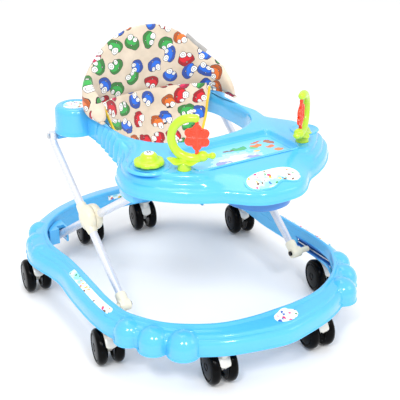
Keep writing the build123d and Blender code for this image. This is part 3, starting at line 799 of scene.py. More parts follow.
# ------------------------------------------------------------------- casters
def extrude_rows(outline, ys):
    """outline of (x, z) points drawn in by inset at each (y, inset)."""
    m = len(outline)
    cx = sum(p[0] for p in outline) / m
    cz = sum(p[1] for p in outline) / m
    rr = []
    for y, inset in ys:
        row = []
        for i, (x, z) in enumerate(outline):
            (x0, z0), (x1, z1) = outline[i - 1], outline[(i + 1) % m]
            ln = hypot(x1 - x0, z1 - z0) or 1.0
            row.append((x - inset * (z1 - z0) / ln, y, z + inset * (x1 - x0) / ln))
        rr.append(row)
    return loops(rr, wrap=False, cap=True)


fork_outline = []
for k in range(25):            # lower round end at the axle
    a = radians(-180 + 180 * k / 24 + 8)
    fork_outline.append((TRAIL + 12.5 * cos(a), WHEEL_R + 12.5 * sin(a)))
fork_outline += [(13.5, 54), (12.5, 63), (12.2, 72), (11.6, 75.4), (-11.6, 75.4), (-12.2, 72), (-12.3, 64), (-7, 52), (-1.5, 42)]


def tongue():
    """The fork's wide front face, filling the valley between the two treads."""
    rr = []
    for k in range(31):
        t = k / 30
        th_ = radians(66 + 100 * t)
        ro = 37.4 - 1.2 * t - 6.5 * smooth01(0.90, 1.0, t)
        ro = min(ro, 74.9 - WHEEL_R if sin(th_) <= 0.2 else (75.2 - WHEEL_R) / sin(th_))
        end = sqrt(max(0.0, 1 - smooth01(0.80, 1.0, t) ** 2)) * 0.9 + 0.1
        hw = lambda r: (5.6 + 0.86 * max(0.0, r - 28.5)) * (end if r > 28.5 else min(1.0, end * 1.2))
        sec = [(22.0, 5.6 * min(1, end * 1.2)), (28.4, hw(28.4)), (ro - 2.4, hw(ro - 2.4)), (ro - 0.9, hw(ro - 2.2) - 0.2), (ro - 0.2, hw(ro - 2.2) - 1.3), (ro + 0.1, 0.5 * hw(ro - 2.2))]
        ring_ = [(r, y) for r, y in sec] + [(r, -y) for r, y in reversed(sec)]
        rr.append([(TRAIL + r * cos(th_), y, WHEEL_R + r * sin(th_)) for r, y in ring_])
    return loops(rr, wrap=False, cap=True)


for idx_c, (px, py, yaw) in enumerate(CASTERS, 1):
    A = Matrix.Translation((px, py, 0)) @ Matrix.Rotation(radians(yaw), 4, "Z")

    def place(part):
        return [tuple(A @ Vector(p)) for p in part[0]], part[1]

    forkp = extrude_rows(fork_outline, [(-5.6, 2.0), (-5.3, 0.9), (-4.6, 0.2), (-3.6, 0.0), (3.6, 0.0), (4.6, 0.2), (5.3, 0.9), (5.6, 2.0)])
    plate_p = lathe([(0, 74.6), (13.2, 74.6), (14, 75.2), (14, 76.6), (13.2, 77.4), (5.4, 77.4), (4, 77.9), (4, 109.8), (3.4, 110.5), (0, 110.5)],
                    (0, 0, 0), (0, 0, 1), 32)
    boss = lathe([(0, -6.4), (6.4, -6.4), (7.0, -5.9), (7.0, 5.9), (6.4, 6.4), (0, 6.4)], (TRAIL, 0, WHEEL_R), (0, 1, 0), 32)
    fixed(make("fork_%d" % idx_c, *place(join(forkp, plate_p, boss, tongue())), M_FORK, "caster_%d" % idx_c, "cream_plastic",
               ["caster_fork_%d" % idx_c], sharp=35))
    pair = []
    for s in (1, -1):
        g = WHEEL_GAP / 2
        prof = [(3.0, g + 1.0), (9, g + 1.0), (11, g + 3), (24, g + 3), (26.4, g + 0.5), (28.5, g + 0.1), (30.4, g + 1.0), (33.0, g + 3.7), (34.4, g + 6.0),
                (35, g + 8.6), (35, g + 11), (34.8, g + 12.8), (34.0, g + 15.0), (32.5, g + 17.0), (30.6, g + 18.5), (28.8, g + 19.2), (27.7, g + 19.3),
                (26.9, g + 18.8), (26.3, g + 17.6), (25.4, g + 17.2), (24.6, g + 17.6), (24.1, g + 18.5), (22.6, g + 18.9), (15, g + 19.4),
                (9.0, g + 19.5), (8.2, g + 19.0), (7.4, g + 18.4), (6.4, g + 18.4), (5.6, g + 19.0), (4.6, g + 19.4), (2.6, g + 19.4)]
        prof = [(r, s * h) for r, h in prof]
        pair.append(lathe(prof, (TRAIL, 0, WHEEL_R), (0, 1, 0), 72))
    fixed(make("wheels_pair_%d" % idx_c, *place(join(*pair)), M_BLACK, "wheels_%d" % idx_c, "black_wheel",
               ["caster_wheels_%d" % idx_c], sharp=28))

# ---------------------------------------------------------------- leg frames
def along(p, q, d):
    ln = hypot(q[0] - p[0], q[1] - p[1])
    return (p[0] + (q[0] - p[0]) * d / ln, p[1] + (q[1] - p[1]) * d / ln)


b_len = hypot(HUB[0] - REAR_PIVOT[0], HUB[1] - REAR_PIVOT[1])
a_len = hypot(HUB[0] - SLIDE_PIN[0], HUB[1] - SLIDE_PIN[1])
a_dir = ((HUB[0] - SLIDE_PIN[0]) / a_len, (HUB[1] - SLIDE_PIN[1]) / a_len)
a_bend = along(SLIDE_PIN, HUB, a_len + (TRAY_PIVOT[0] - HUB[0]) / a_dir[0])
for s, side_name in ((1, "right"), (-1, "left")):
    x = s * X_B
    total = b_len + 226 + 8.5
    pts, rad, flat = [], [], []
    for k in range(61):
        d = -8.5 + total * k / 60
        y, z = along(REAR_PIVOT, HUB, d)
        pts.append((x, y, z))
        fl = 1 - smooth01(18, 46, d)
        flat.append((1 - 0.16 * fl, 1 + 0.06 * fl))
    fixed(make("inner_leg_" + side_name, *tube(pts, TUBE_R, 32, flat=flat), M_TUBE, "inner_legs", "white_tube",
               ["leg_tube_b_" + side_name], sharp=40))
    x = s * X_A
    pts, flat = [], []
    # straight run, a 12 mm bend and the upright head
    bend = 12.0
    y1, z1 = along(a_bend, SLIDE_PIN, bend * 0.9)
    end0 = a_len + (TRAY_PIVOT[0] - HUB[0]) / a_dir[0] - bend * 0.9
    for k in range(71):
        d = 9 + (end0 - 9) * k / 70
        y, z = along(SLIDE_PIN, HUB, d)
        pts.append((x, y, z))
        fl = 1 - smooth01(30, 62, d)
        flat.append((1 - 0.12 * fl, 1 + 0.05 * fl))
    p0, p1, p2 = (y1, z1), a_bend, (a_bend[0], a_bend[1] + bend * 0.9)
    for k in range(1, 13):
        t = k / 12
        y = (1 - t) ** 2 * p0[0] + 2 * t * (1 - t) * p1[0] + t * t * p2[0]
        z = (1 - t) ** 2 * p0[1] + 2 * t * (1 - t) * p1[1] + t * t * p2[1]
        pts.append((x, y, z))
        flat.append((1, 1))
    pts.append((x, TRAY_PIVOT[0], TRAY_PIVOT[1] + 7.0))
    flat.append((1, 1))
    fixed(make("outer_leg_" + side_name, *tube(pts, TUBE_R, 32, flat=flat), M_TUBE, "outer_legs", "white_tube",
               ["leg_tube_a_" + side_name], sharp=40))
    # hubs: round cream shells either side of the crossing
    face = s
    outer = [(0, 9.9), (7.0, 9.9), (7.6, 9.3), (9.4, 9.3), (10.0, 9.8), (16, 9.6), (19.6, 8.6), (22.6, 6.6), (24.6, 3.9), (25.7, 0.8), (26.0, -2.4),
             (26.0, -6.6), (25.2, -8.0), (21, -8.4), (0, -8.4)]
    sleeve_a = []
    hub_pts = [(X_A * s, *along(HUB, SLIDE_PIN, 34)), (X_A * s, *along(HUB, SLIDE_PIN, 31)), (X_A * s, *along(HUB, SLIDE_PIN, 20)),
               (X_A * s, *HUB), (X_A * s, *along(HUB, a_bend, 20)), (X_A * s, *along(HUB, a_bend, 31)), (X_A * s, *along(HUB, a_bend, 34))]
    part = lathe([(r, h * s) for r, h in outer], (X_A * s, *HUB), (1, 0, 0), 64)
    sleeve = tube(hub_pts, [8.3, 10.0, 11.0, 11.4, 11.0, 10.0, 8.3], 32)
    fixed(make("outer_hub_" + side_name, *join(part, sleeve), M_CREAM, "outer_legs", "cream_plastic", ["hub_outer_" + side_name], sharp=35))
    inner = [(0, -9.4), (8.6, -9.4), (9.2, -8.8), (10.4, -8.8), (11.0, -9.3), (17, -9.0), (20.6, -7.8), (23.4, -5.6), (25.2, -2.6), (26.0, 1.0),
             (26.0, 7.0), (25.2, 8.3), (21, 8.5), (0, 8.5)]
    hub_pts = [(X_B * s, *along(HUB, REAR_PIVOT, 34)), (X_B * s, *along(HUB, REAR_PIVOT, 31)), (X_B * s, *along(HUB, REAR_PIVOT, 20)),
               (X_B * s, *HUB), (X_B * s, *along(REAR_PIVOT, HUB, b_len + 20)), (X_B * s, *along(REAR_PIVOT, HUB, b_len + 31)),
               (X_B * s, *along(REAR_PIVOT, HUB, b_len + 34))]
    part = lathe([(r, h * s) for r, h in inner], (X_B * s, *HUB), (1, 0, 0), 64)
    sleeve = tube(hub_pts, [8.3, 8.9, 9.2, 9.3, 9.2, 8.9, 8.3], 32)
    fixed(make("inner_hub_" + side_name, *join(part, sleeve), M_CREAM, "inner_legs", "cream_plastic", ["hub_inner_" + side_name], sharp=35))
    # sliding foot: sleeve, eye and stub
    q = [along(SLIDE_PIN, HUB, d) for d in (2, 3.2, 10, 17, 23.6, 25.0, 25.8)]
    sleeve = tube([(X_A * s, *p) for p in q], [9.4, 10.6, 11.0, 11.2, 10.8, 10.0, 8.2], 32)
    eye = lathe([(0, -10.6), (9.6, -10.6), (10.8, -9.4), (11.0, -8), (11.0, 10.6), (10.2, 12.0), (6.0, 12.0), (6.0, 33.2), (5.0, 34.2), (0, 34.2)],
                (X_A * s, *SLIDE_PIN), (s, 0, 0), 40)
    fixed(make("slide_foot_" + side_name, *join(sleeve, eye), M_CREAM, "outer_legs", "cream_plastic",
               ["slide_feet"] if s > 0 else [], sharp=35))

# ---------------------------------------------------------------------- tray
NT = 900
TO, TH = Outline(TRAY_OUT, NT), Outline(SEAT_HOLE, NT)
TANG = [-pi + 2 * pi * i / NT for i in range(NT)]
# each row: apron, lobe and arm entries
TROWS = [
    (("o", 0.8, 345.0),) * 3, (("o", -1.0, 345.2),) * 3, (("o", -1.5, 346.4),) * 3, (("o", -1.2, 347.8),) * 3, (("o", 0.2, 348.8),) * 3,
    (("o", 0.5, 353.0),) * 3, (("o", 0.9, 358.0),) * 3,
    (("o", 1.9, 362.2), ("o", 1.9, 362.0), ("o", 1.2, 363.0)),
    (("o", 3.9, 365.4), ("o", 3.9, 364.8), ("o", 1.6, 367.0)),
    (("o", 7.0, 367.4), ("o", 6.6, 366.4), ("o", 2.2, 371.0)),
    (("a", 0.04, 0), ("o", 9.0, 367.0), ("o", 2.8, 374.5)),
    (("a", 0.10, 0), ("o", 9.9, 368.0), ("o", 3.4, 377.5)),
    (("a", 0.20, 0), ("o", 10.3, 370.6), ("o", 4.2, 380.0)),
    (("a", 0.30, 0), ("o", 10.9, 373.6), ("o", 5.2, 382.4)),
    (("a", 0.40, 0), ("o", 12.6, 376.2), ("o", 6.4, 384.4)),
    (("a", 0.50, 0), ("o", 15.4, 377.8), ("o", 7.8, 386.0)),
    (("a", 0.60, 0), ("o", 18.8, 378.6), ("o", 9.2, 387.0)),
    (("a", 0.70, 0), ("o", 20.2, 379.2), ("o", 10.2, 387.5)),
    (("a", 0.80, 0), ("o", 20.9, 381.0), ("o", 11.0, 387.8)),
    (("a", 0.90, 0), ("o", 21.6, 384.0), ("o", 11.6, 388.0)),
    (("a", 0.97, 0), ("o", 23.2, 386.4), ("o", 12.2, 388.0)),
    (("y", -228.0, 386.6), ("o", 26.0, 387.6), ("o", 12.8, 388.0)),
    (("y", -225.0, 387.4), ("o", 29.0, 388.0), ("o", 13.4, 388.0)),
    (("h", 12.0, 388.0), ("h", 12.0, 388.0), ("h", 9.0, 388.0)),
    (("h", 9.0, 389.0), ("h", 9.0, 388.6), ("h", 6.4, 388.2)),
    (("h", 5.0, 389.8), ("h", 5.0, 389.0), ("h", 4.0, 387.8)),
    (("h", 2.2, 389.0), ("h", 2.2, 388.2), ("h", 1.8, 386.4)),
    (("h", 0.6, 386.8), ("h", 0.6, 386.2), ("h", 0.5, 383.8)),
    (("h", 0.0, 383.0),) * 3, (("h", 0.0, 366.0),) * 3, (("h", 0.0, 349.0),) * 3, (("h", 0.5, 346.0),) * 3, (("h", 2.0, 345.2),) * 3,
    (("h", 3.0, 346.4),) * 3,
    (("h", 3.0, 383.2), ("h", 3.0, 383.2), ("h", 3.0, 382.0)),
    (("y", -222.5, 383.4), ("o", 30.0, 384.0), ("o", 12.8, 384.2)),
    (("b", 0.85, 0), ("o", 24.6, 382.6), ("o", 11.6, 383.8)),
    (("b", 0.50, 0), ("o", 22.6, 375.4), ("o", 8.6, 381.2)),
    (("b", 0.20, 0), ("o", 14.4, 373.4), ("o", 6.4, 376.4)),
    (("o", 12.0, 363.9), ("o", 12.0, 363.4), ("o", 5.0, 369.0)),
    (("o", 6.4, 362.8), ("o", 6.4, 362.0), ("o", 4.2, 363.0)),
    (("o", 3.8, 357.0),) * 3, (("o", 3.4, 347.0),) * 3,
]


def tray_weights(a):
    off = abs(math.degrees(math.atan2(sin(a + pi / 2), cos(a + pi / 2))))   # 0 at the front middle
    w_apron = 1 - smooth01(19.5, 27.5, off)
    w_arm = smooth01(66.0, 84.0, off)
    return w_apron, max(0.0, 1 - w_apron - w_arm), w_arm, off


def tray_point(entry, i, a):
    k, d, z = entry
    if k == "o":
        return TO.radii(-d)[i], z
    if k == "h":
        return TH.radii(d)[i], z
    sa = sin(a)
    if k == "y":
        return (d / sa if sa < -0.3 else 0.0), z
    lo, zl = TO.radii(-7.6)[i], 367.6
    hi, zh = (-229.0 / sa if sa < -0.3 else 0.0), 386.2
    zz = zl + (zh - zl) * (d + 0.35 * sin(pi * d) * 0.55)
    if k == "b":
        return lo + (hi - lo) * d, zz - 3.4
    return lo + (hi - lo) * d, zz


def flute(a, off):
    """Finger grips along the outside of each arm."""
    w = smooth01(72.0, 80.0, off) * (1 - smooth01(119.0, 126.0, off))
    ph = (off - 72.0) / 8.6
    return w * (abs(sin(pi * ph)) - 0.5), w


rows = []
for j, entries in enumerate(TROWS):
    row = []
    for i, a in enumerate(TANG):
        wa, wl, wr, off = tray_weights(a)
        r = z = 0.0
        for w, e in zip((wa, wl, wr), entries):
            if w > 0:
                rr, zz = tray_point(e, i, a)
                r += w * rr
                z += w * zz
        if j <= 16 or j >= len(TROWS) - 2:
            fl, w = flute(a, off)
            fade = 1.0 if j <= 10 else max(0.0, 1 - (j - 10) / 6.0)
            if j >= len(TROWS) - 2:
                fade = 1.0
            r += 6.4 * fl * fade
            if j <= 5 or j >= len(TROWS) - 2:
                z -= 3.0 * w * (abs(sin(pi * (off - 72.0) / 8.6)) - 0.9) * -1.0 * 0.9 if w else 0.0
        row.append((r * cos(a), r * sin(a), z))
    rows.append(row)
v, f = loops(rows, wrap=True)
tray = fixed(make("tray_moulding", v, f, M_BLUE, "tray", "blue_plastic", ["tray_shell"], sharp=34))


def cut(ob, part, solver="EXACT"):
    me = bpy.data.meshes.new("cutter")
    me.from_pydata([(p[0] * 0.001, p[1] * 0.001, p[2] * 0.001) for p in part[0]], [], part[1])
    outward(me)
    c = bpy.data.objects.new("cutter", me)
    scene.collection.objects.link(c)
    b = ob.modifiers.new("cut", "BOOLEAN")
    b.operation, b.object, b.solver = "DIFFERENCE", c, solver
    bpy.context.view_layer.update()
    dg = bpy.context.evaluated_depsgraph_get()
    new = bpy.data.meshes.new_from_object(ob.evaluated_get(dg))
    ob.modifiers.remove(b)
    old = ob.data
    ob.data = new
    bpy.data.objects.remove(c)
    bpy.data.meshes.remove(old)
    bpy.data.meshes.remove(me)
    ob.data.set_sharp_from_angle(angle=radians(34))


x0, x1, y0, y1 = PANEL
tray_bvh = bvh_of(tray)
rect = rounded_rect(x0, x1, y0, y1, 12, 8)
cut(tray, loops([[(x, y, 360.0) for x, y in rect], [(x, y, 420.0) for x, y in rect]], wrap=False, cap=True))


def rect_row(g, z):
    return [(x, y, z) for x, y in rounded_rect(x0 - g, x1 + g, y0 - g, y1 + g, max(2.0, 12 + g), 8)]


prow = [rect_row(4.5, 387.2), rect_row(3.8, 388.6), rect_row(2.8, 389.3), rect_row(1.2, 389.3), rect_row(0.2, 388.6),
        rect_row(-0.5, 387.0), rect_row(-2.0, 382.0), rect_row(-3.2, 380.0), rect_row(-5.0, 379.2), rect_row(-7.0, 379.0),
        rect_row(-30.0, 379.0)]
pv, pf = loops(prow, wrap=False)
pf.append([(len(prow) - 1) * len(rect) + i for i in range(len(rect))])
back_rows = [rect_row(2.0, 376.0), rect_row(2.0, 386.0)]
bo = len(pv)
pv += back_rows[0] + back_rows[1]
n = len(rect)
pf += [[bo + i, bo + (i + 1) % n, bo + n + (i + 1) % n, bo + n + i] for i in range(n)]
pf.append([bo + i for i in range(n)][::-1])
pf += [[bo + n + i, bo + n + (i + 1) % n, (i + 1) % n, i] for i in range(n)]
fixed(make("play_panel_well", pv, pf, M_BLUE, "tray", "panel_plastic", ["play_panel"], sharp=45))
prt = [[(x, y, z) for x, y in rounded_rect(x0 + 9 + g, x1 - 9 - g, y0 + 9 + g, y1 - 9 - g, max(1.0, 9 - g), 6)] for g, z in ((0, 379.05), (0.15, 379.35), (0.5, 379.45), (20, 379.45))]
pv, pf = loops(prt, wrap=False)
m_ = len(prt[0])
pf.append([(len(prt) - 1) * m_ + i for i in range(m_)])
pf.append([i for i in range(m_)][::-1])
fixed(make("play_panel_print", pv, pf, M_PICTURE, "tray", "label", sharp=45))

# ears with a round label, lugs and bosses
ear_prof = [(0, 346.5), (38, 346.5), (39, 345.2), (42.4, 345.0), (43.2, 346.2), (43.0, 347.8), (42.0, 349.2), (41.4, 354), (41.0, 366), (40.8, 386),
            (40.4, 391), (39.2, 395.2), (36.8, 398.2), (33.4, 399.8), (29, 400.4), (26.2, 400.4), (25.2, 399.9), (24.4, 398.8), (23.8, 398.3), (0, 398.3)]
for s, side_name in ((1, "right"), (-1, "left")):
    fixed(make("ear_" + side_name, *lathe(ear_prof, (s * EAR[0], EAR[1], 0), (0, 0, 1), 80), M_BLUE, "tray", "blue_plastic", sharp=34))
    disc = lathe([(0, 398.0), (23.2, 398.0), (23.6, 398.5), (23.4, 398.9), (22.8, 399.0), (0, 399.0)], (s * EAR[0], EAR[1], 0), (0, 0, 1), 64)
    fixed(make("ear_label_" + side_name, *disc, M_LABEL, "tray", "label", ["ear_discs"] if s > 0 else [], sharp=40))
    # lug for the outer leg's head
    sec = rounded_rect(TRAY_PIVOT[0] - 9, TRAY_PIVOT[0] + 9, 329, 352, 4, 4)
    lug = loops([[(s * xx, y, z) for y, z in sec] for xx in (X_A - 32, X_A - 9)], wrap=False, cap=True)
    fixed(make("ear_lug_" + side_name, *lug, M_BLUE, "tray", "blue_plastic", sharp=40))
    # boss of the ring toy
    boss = lathe([(0, 372), (14.4, 372), (15.4, 374), (16.4, 384), (16.0, 388.0), (14.6, 389.0), (12.6, 389.0), (12.2, 388.2), (0, 388.2)],
                 (s * TOY_STEM[0], TOY_STEM[1], 0), (0, 0, 1), 48)
    fixed(make("toy_boss_" + side_name, *boss, M_BLUE, "tray", "blue_plastic", sharp=40))
kb = lathe([(0, 369), (20, 369), (22, 371), (24.5, 385.2), (26.5, 386.9), (27.6, 387.5), (26.6, 388.0), (24.0, 387.8), (22.4, 386.8), (21.6, 383), (21.2, 374), (0, 374)],
           (KNOB[0], KNOB[1], 0), (0, 0, 1), 64)
fixed(make("knob_well", *kb, M_BLUE, "tray", "blue_plastic", sharp=40))
lrim = lathe([(33.5, 386.0), (35.0, 388.6), (36.6, 389.6), (38.2, 389.2), (39.8, 387.4), (40.6, 385.0)], (KNOB[0], KNOB[1], 0), (0, 0, 1), 96)
fixed(make("left_lobe_rim", *lrim, M_BLUE, "tray", "blue_plastic", sharp=60))
# a plain round pad on the right front lobe, level with the knob's well
rl = lathe([(0, 387.0), (27.0, 387.0), (27.6, 388.4), (26.8, 389.6), (24.6, 390.0), (22.6, 389.4), (20.0, 388.9), (10, 389.5), (0, 389.8)],
           (-KNOB[0], KNOB[1], 0), (0, 0, 1), 64)
fixed(make("right_lobe_pad", *rl, M_BLUE, "tray", "blue_plastic", sharp=40))

# sound box under the nose: a rounded tub with sound slots in its floor. Its darker blue is painted shade from the tray
# above it.
cov = dense(closed([(0, -309), (28, -303), (48, -284), (58, -262), (60, -243), (45, -234), (0, -233)]), 8)


def cov_row(inset, z):
    k = 1 - inset / 48.0
    return [(x * k, -270 + (y + 270) * k, z) for x, y in cov]


tub = loops([cov_row(7.0, 320.0), cov_row(3.4, 320.4), cov_row(1.2, 321.8), cov_row(0.2, 324.4), cov_row(0.0, 330.0), cov_row(-0.6, 346.0), cov_row(-1.0, 360.0)],
            wrap=False, cap=True)
slots = [tube([(-14 + abs(k) * 2.0, -268 + 6 * k, 319.9), (14 - abs(k) * 2.0, -268 + 6 * k, 319.9)], 0.9, 10, ref=(0, 0, 1)) for k in (-2, -1, 0, 1, 2)]
fixed(make("sound_box_tub", *join(tub, *slots), M_BLUE_PAINTED_SHADE, "tray", "blue_plastic", ["sound_box"], sharp=40))

# kidney-shaped label on the nose, notched on its front side, inside a raised rim
def kidney(a0, b0, notch, n=96):
    pts = []
    for k in range(n):
        t = 2 * pi * k / n
        c, s_ = cos(t), sin(t)
        x = a0 * (abs(c) ** 0.86) * (1 if c > 0 else -1)
        y = b0 * s_ * (1.0 + 0.10 * cos(2 * t))
        if s_ < 0:
            y += notch * math.exp(-((x - 9) / (0.30 * a0)) ** 2) * min(1.0, -s_ * 1.4)
        y += -2.6 * (x / a0) ** 2
        pts.append((x, y))
    return pts


nose = lambda a, b: (1 + a, -294.0 + b + 3.4 * (a / 54.0) ** 2)
patch("nose_label_rim", kidney(57, 28.0, 11.0), nose, tray_bvh, M_BLUE, "tray", "blue_plastic", lift=1.3, rings=12, thick=2.4)
patch("nose_label", kidney(53, 24.4, 11.6), nose, tray_bvh, M_LABEL, "tray", "label", lift=1.6, rings=12, thick=0.6)

# ---------------------------------------------------------------------- toys
def in_plane(e, z, s):
    ux, uy = -s * cos(radians(TOY_TURN)), -sin(radians(TOY_TURN))
    return (s * TOY_STEM[0] + e * ux, TOY_STEM[1] + e * uy, z)


for s, side_name in ((1, "right"), (-1, "left")):
    body, spin = "toy_" + side_name, "spinner_" + side_name
    pts, rad = [], []
    for k in range(65):
        t = k / 64
        a = radians(-60 - 221 * t)
        pts.append(in_plane(TOY_OFFSET + TOY_RING_R * cos(a), TOY_CENTRE_Z + TOY_RING_R * sin(a), s))
        rad.append(8.0 - 1.2 * t * t + 0.35 * sin(t * pi * 3))
    # rounded far end
    tip = Vector(pts[-1]) - Vector(pts[-2])
    tip.normalize()
    for h, r in ((1.8, 6.0), (3.6, 4.9), (4.8, 3.3), (5.4, 1.4)):
        pts.append(tuple(Vector(pts[64]) + tip * h))
        rad.append(r)
    ring_p = tube(pts, rad, 28)
    ball = lathe([(9.5 * sin(pi * k / 16) if 0 < k < 16 else 0.0, -9.5 * cos(pi * k / 16)) for k in range(17)],
                 in_plane(TOY_OFFSET + 18, TOY_CENTRE_Z - 31.2, s), (0, 0, 1), 36)
    nosep = lathe([(6.0 * sin(pi * k / 12) if 0 < k < 12 else 0.0, -6.0 * cos(pi * k / 12)) for k in range(13)],
                  in_plane(TOY_OFFSET + 34.5, TOY_CENTRE_Z - 29.5, s), (0, 0, 1), 28)
    neck = tube([in_plane(TOY_OFFSET + 18 + 15 * k / 4, TOY_CENTRE_Z - 31.2 + 1.7 * k / 4, s) for k in range(5)], 4.2, 20)
    stem = lathe([(0, 388.4), (11.6, 388.4), (12.2, 389.4), (11.6, 391), (11.4, 400), (11.8, 401.6), (10.0, 404), (7.5, 412), (0, 414)],
                 in_plane(0, 0, s), (0, 0, 1), 40)
    # two broad leaves wrapped round the stem, wavy at their edges
    rows_l = []
    m = 96
    for q, (rr, zz) in enumerate([(0.0, 402.2), (0.55, 401.2), (0.9, 402.4), (1.0, 404.2), (0.9, 405.8), (0.55, 406.8), (0.0, 408.6)]):
        row = []
        for k in range(m):
            t = 2 * pi * k / m
            lobe = 16.5 + 12.0 * abs(cos(t)) ** 1.6 + 1.6 * cos(6 * t)
            wave = 2.2 * cos(4 * t) * rr + 1.8 * cos(2 * t) * rr
            e = lobe * cos(t) * max(rr, 0.02)
            w = lobe * 0.80 * sin(t) * max(rr, 0.02)
            c = in_plane(e, 0, s)
            ux, uy = -s * cos(radians(TOY_TURN)), -sin(radians(TOY_TURN))
            row.append((c[0] - uy * w, c[1] + ux * w, zz + wave))
        rows_l.append(row)
    leaves = loops(rows_l, wrap=False, cap=True)
    pivot = lathe([(0, 370), (4.9, 370), (4.9, 389), (0, 389)], in_plane(0, 0, s), (0, 0, 1), 24)
    part = join(ring_p, ball, nosep, neck, stem, leaves, pivot)
    fixed(make("ring_toy_" + side_name, *part, M_GREEN, body, "green_plastic", ["toy_ring_" + side_name], sharp=45))
    # flower: six petals, a raised waffle of ridges on each face, short stalks on the pin
    ux, uy = -s * cos(radians(TOY_TURN)), -sin(radians(TOY_TURN))
    C = Vector(in_plane(TOY_OFFSET + 8, TOY_CENTRE_Z + 2, s))
    E, Z = Vector((ux, uy, 0)), Vector((0, 0, 1))
    W = E.cross(Z)

    def petal_r(t):
        best = 13.0
        for k in range(6):
            ang = pi / 6 + pi / 3 * k
            d = cos(t - ang)
            disc = 7.9 ** 2 - 15.4 ** 2 * (1 - d * d)
            if disc > 0 and d > 0:
                best = max(best, 15.4 * d + sqrt(disc))
        return best
    rings_f = []
    m = 144
    prof_f = [(0.04, 2.3), (0.30, 2.2), (0.60, 2.1), (0.80, 2.2), (0.90, 2.6), (0.96, 2.3), (1.0, 1.2), (1.0, -1.2), (0.96, -2.3), (0.90, -2.6), (0.80, -2.2),
              (0.60, -2.1), (0.30, -2.2), (0.04, -2.3)]
    for fr, h in prof_f:
        rings_f.append([tuple(C + E * (fr * petal_r(2 * pi * k / m) * cos(2 * pi * k / m)) + Z * (fr * petal_r(2 * pi * k / m) * sin(2 * pi * k / m)) + W * h)
                        for k in range(m)])
    disc_p = loops(rings_f, wrap=False, cap=True)
    ribs = []
    for k in range(-3, 4):
        o = k * 5.2
        half = sqrt(max(0.0, 19.0 ** 2 - o * o))
        if half < 4:
            continue
        for face in (1, -1):
            a_, b_ = C + E * (-half) + Z * o + W * (2.2 * face), C + E * half + Z * o + W * (2.2 * face)
            ribs.append(tube([tuple(a_), tuple(b_)], 0.65, 8, ref=(0, 0, 1)))
            a_, b_ = C + Z * (-half) + E * o + W * (2.2 * face), C + Z * half + E * o + W * (2.2 * face)
            ribs.append(tube([tuple(a_), tuple(b_)], 0.65, 8, ref=(1, 0, 0)))
    hub_f = tube([tuple(C + Z * h) for h in (-31.0, -29.5, -24, -20, 0, 20, 24, 26.5, 28)], [2.6, 3.3, 3.3, 2.9, 2.9, 2.9, 3.3, 3.3, 2.6], 20)
    fixed(make("flower_spinner_" + side_name, *join(disc_p, hub_f, *ribs), M_RED, spin, "red_plastic", ["flower_" + side_name], sharp=45))

# the knob's coil spring; the real spring shortens as the knob goes down, but here it is a fixed coil
coil = tube([(KNOB[0] + 6.4 * cos(2 * pi * 5 * k / 200), KNOB[1] + 6.4 * sin(2 * pi * 5 * k / 200), 375.0 + 12.6 * k / 200) for k in range(201)], 0.7, 10)
spring = fixed(make("knob_coil_spring", *coil, M_STEEL, "tray", "steel", ["knob_spring"], sharp=60))
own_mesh(spring)

# press knob: scalloped flange, dome and a small white cap
kx, ky = KNOB
krows, m = [], 160
for fr, z, lob in [(0.60, 391.5, 0), (0.93, 391.5, 1), (0.985, 392.2, 1), (1.0, 393.8, 1), (0.99, 396.4, 1), (0.95, 398.4, 1), (0.88, 399.6, 0.9), (0.80, 399.9, 0.6),
                   (0.72, 399.7, 0.3), (0.66, 400.3, 0.1), (0.62, 402.4, 0.05), (0.58, 405.6, 0), (0.52, 408.6, 0), (0.45, 410.4, 0), (0.38, 411.2, 0), (0.34, 411.0, 0)]:
    row = []
    for k in range(m):
        t = 2 * pi * k / m
        r = 26.4 * fr * (1 + 0.075 * lob * (abs(cos(4 * t)) ** 0.7 - 0.55))
        row.append((kx + r * cos(t), ky + r * sin(t), z))
    krows.append(row)
kp = loops(krows, wrap=False, cap=True)
skirt = lathe([(14.6, 389.4), (14.6, 379.0), (15.0, 378.6), (17.2, 378.6), (17.6, 379.0), (17.6, 391.6), (14.6, 391.6)], (kx, ky, 0), (0, 0, 1), 48)
stemk = lathe([(0, 366), (3.0, 366), (3.0, 391.8), (0, 391.8)], (kx, ky, 0), (0, 0, 1), 24)
fixed(make("press_knob_moulding", *join(kp, skirt, stemk), M_GREEN, "knob", "green_plastic", ["press_knob"], sharp=45))
capk = lathe([(0, 409.6), (8.4, 409.6), (8.6, 411.4), (8.0, 412.3), (5.0, 412.9), (0, 413.1)], (kx, ky, 0), (0, 0, 1), 40)
fixed(make("knob_cap", *capk, M_WHITE, "knob", "green_plastic", sharp=45))
dot = []
for k in range(4):
    a = pi / 2 * k + 0.6
    dot.append(lathe([(0, 412.6), (1.5, 412.6), (1.5, 413.3), (0, 413.4)], (kx + 3.0 * cos(a), ky + 3.0 * sin(a), 0), (0, 0, 1), 16))
fixed(make("knob_cap_dots", *join(*dot), M_BOLT, "knob", "label", sharp=45))

# ---------------------------------------------------------------------- seat
IN_LINE = [(148, 62), (148, 92), (144, 112), (131, 130), (112, 144), (80, 151), (40, 153), (0, 153)]
OUT_LINE = [(169, 62), (169, 98), (162, 126), (146, 147), (120, 163), (82, 171), (40, 173), (0, 174)]
TOP = [(170, 436), (160, 444), (150, 461), (140, 471), (130, 481), (120, 490), (110, 500), (100, 510), (80, 524), (60, 536), (40, 543), (20, 547), (0, 548)]


def interp(table, x):
    t = sorted(table)
    if x <= t[0][0]:
        return t[0][1]
    for (a, va), (b, vb) in zip(t, t[1:]):
        if x <= b:
            return va + (vb - va) * (x - a) / (b - a)
    return t[-1][1]


def both_sides(line, n=10):
    fine = open_curve([(float(x), float(y)) for x, y in line], n)
    return fine + [(-x, y) for x, y in reversed(fine[:-1])]


line_in, line_out = both_sides(IN_LINE), both_sides(OUT_LINE)
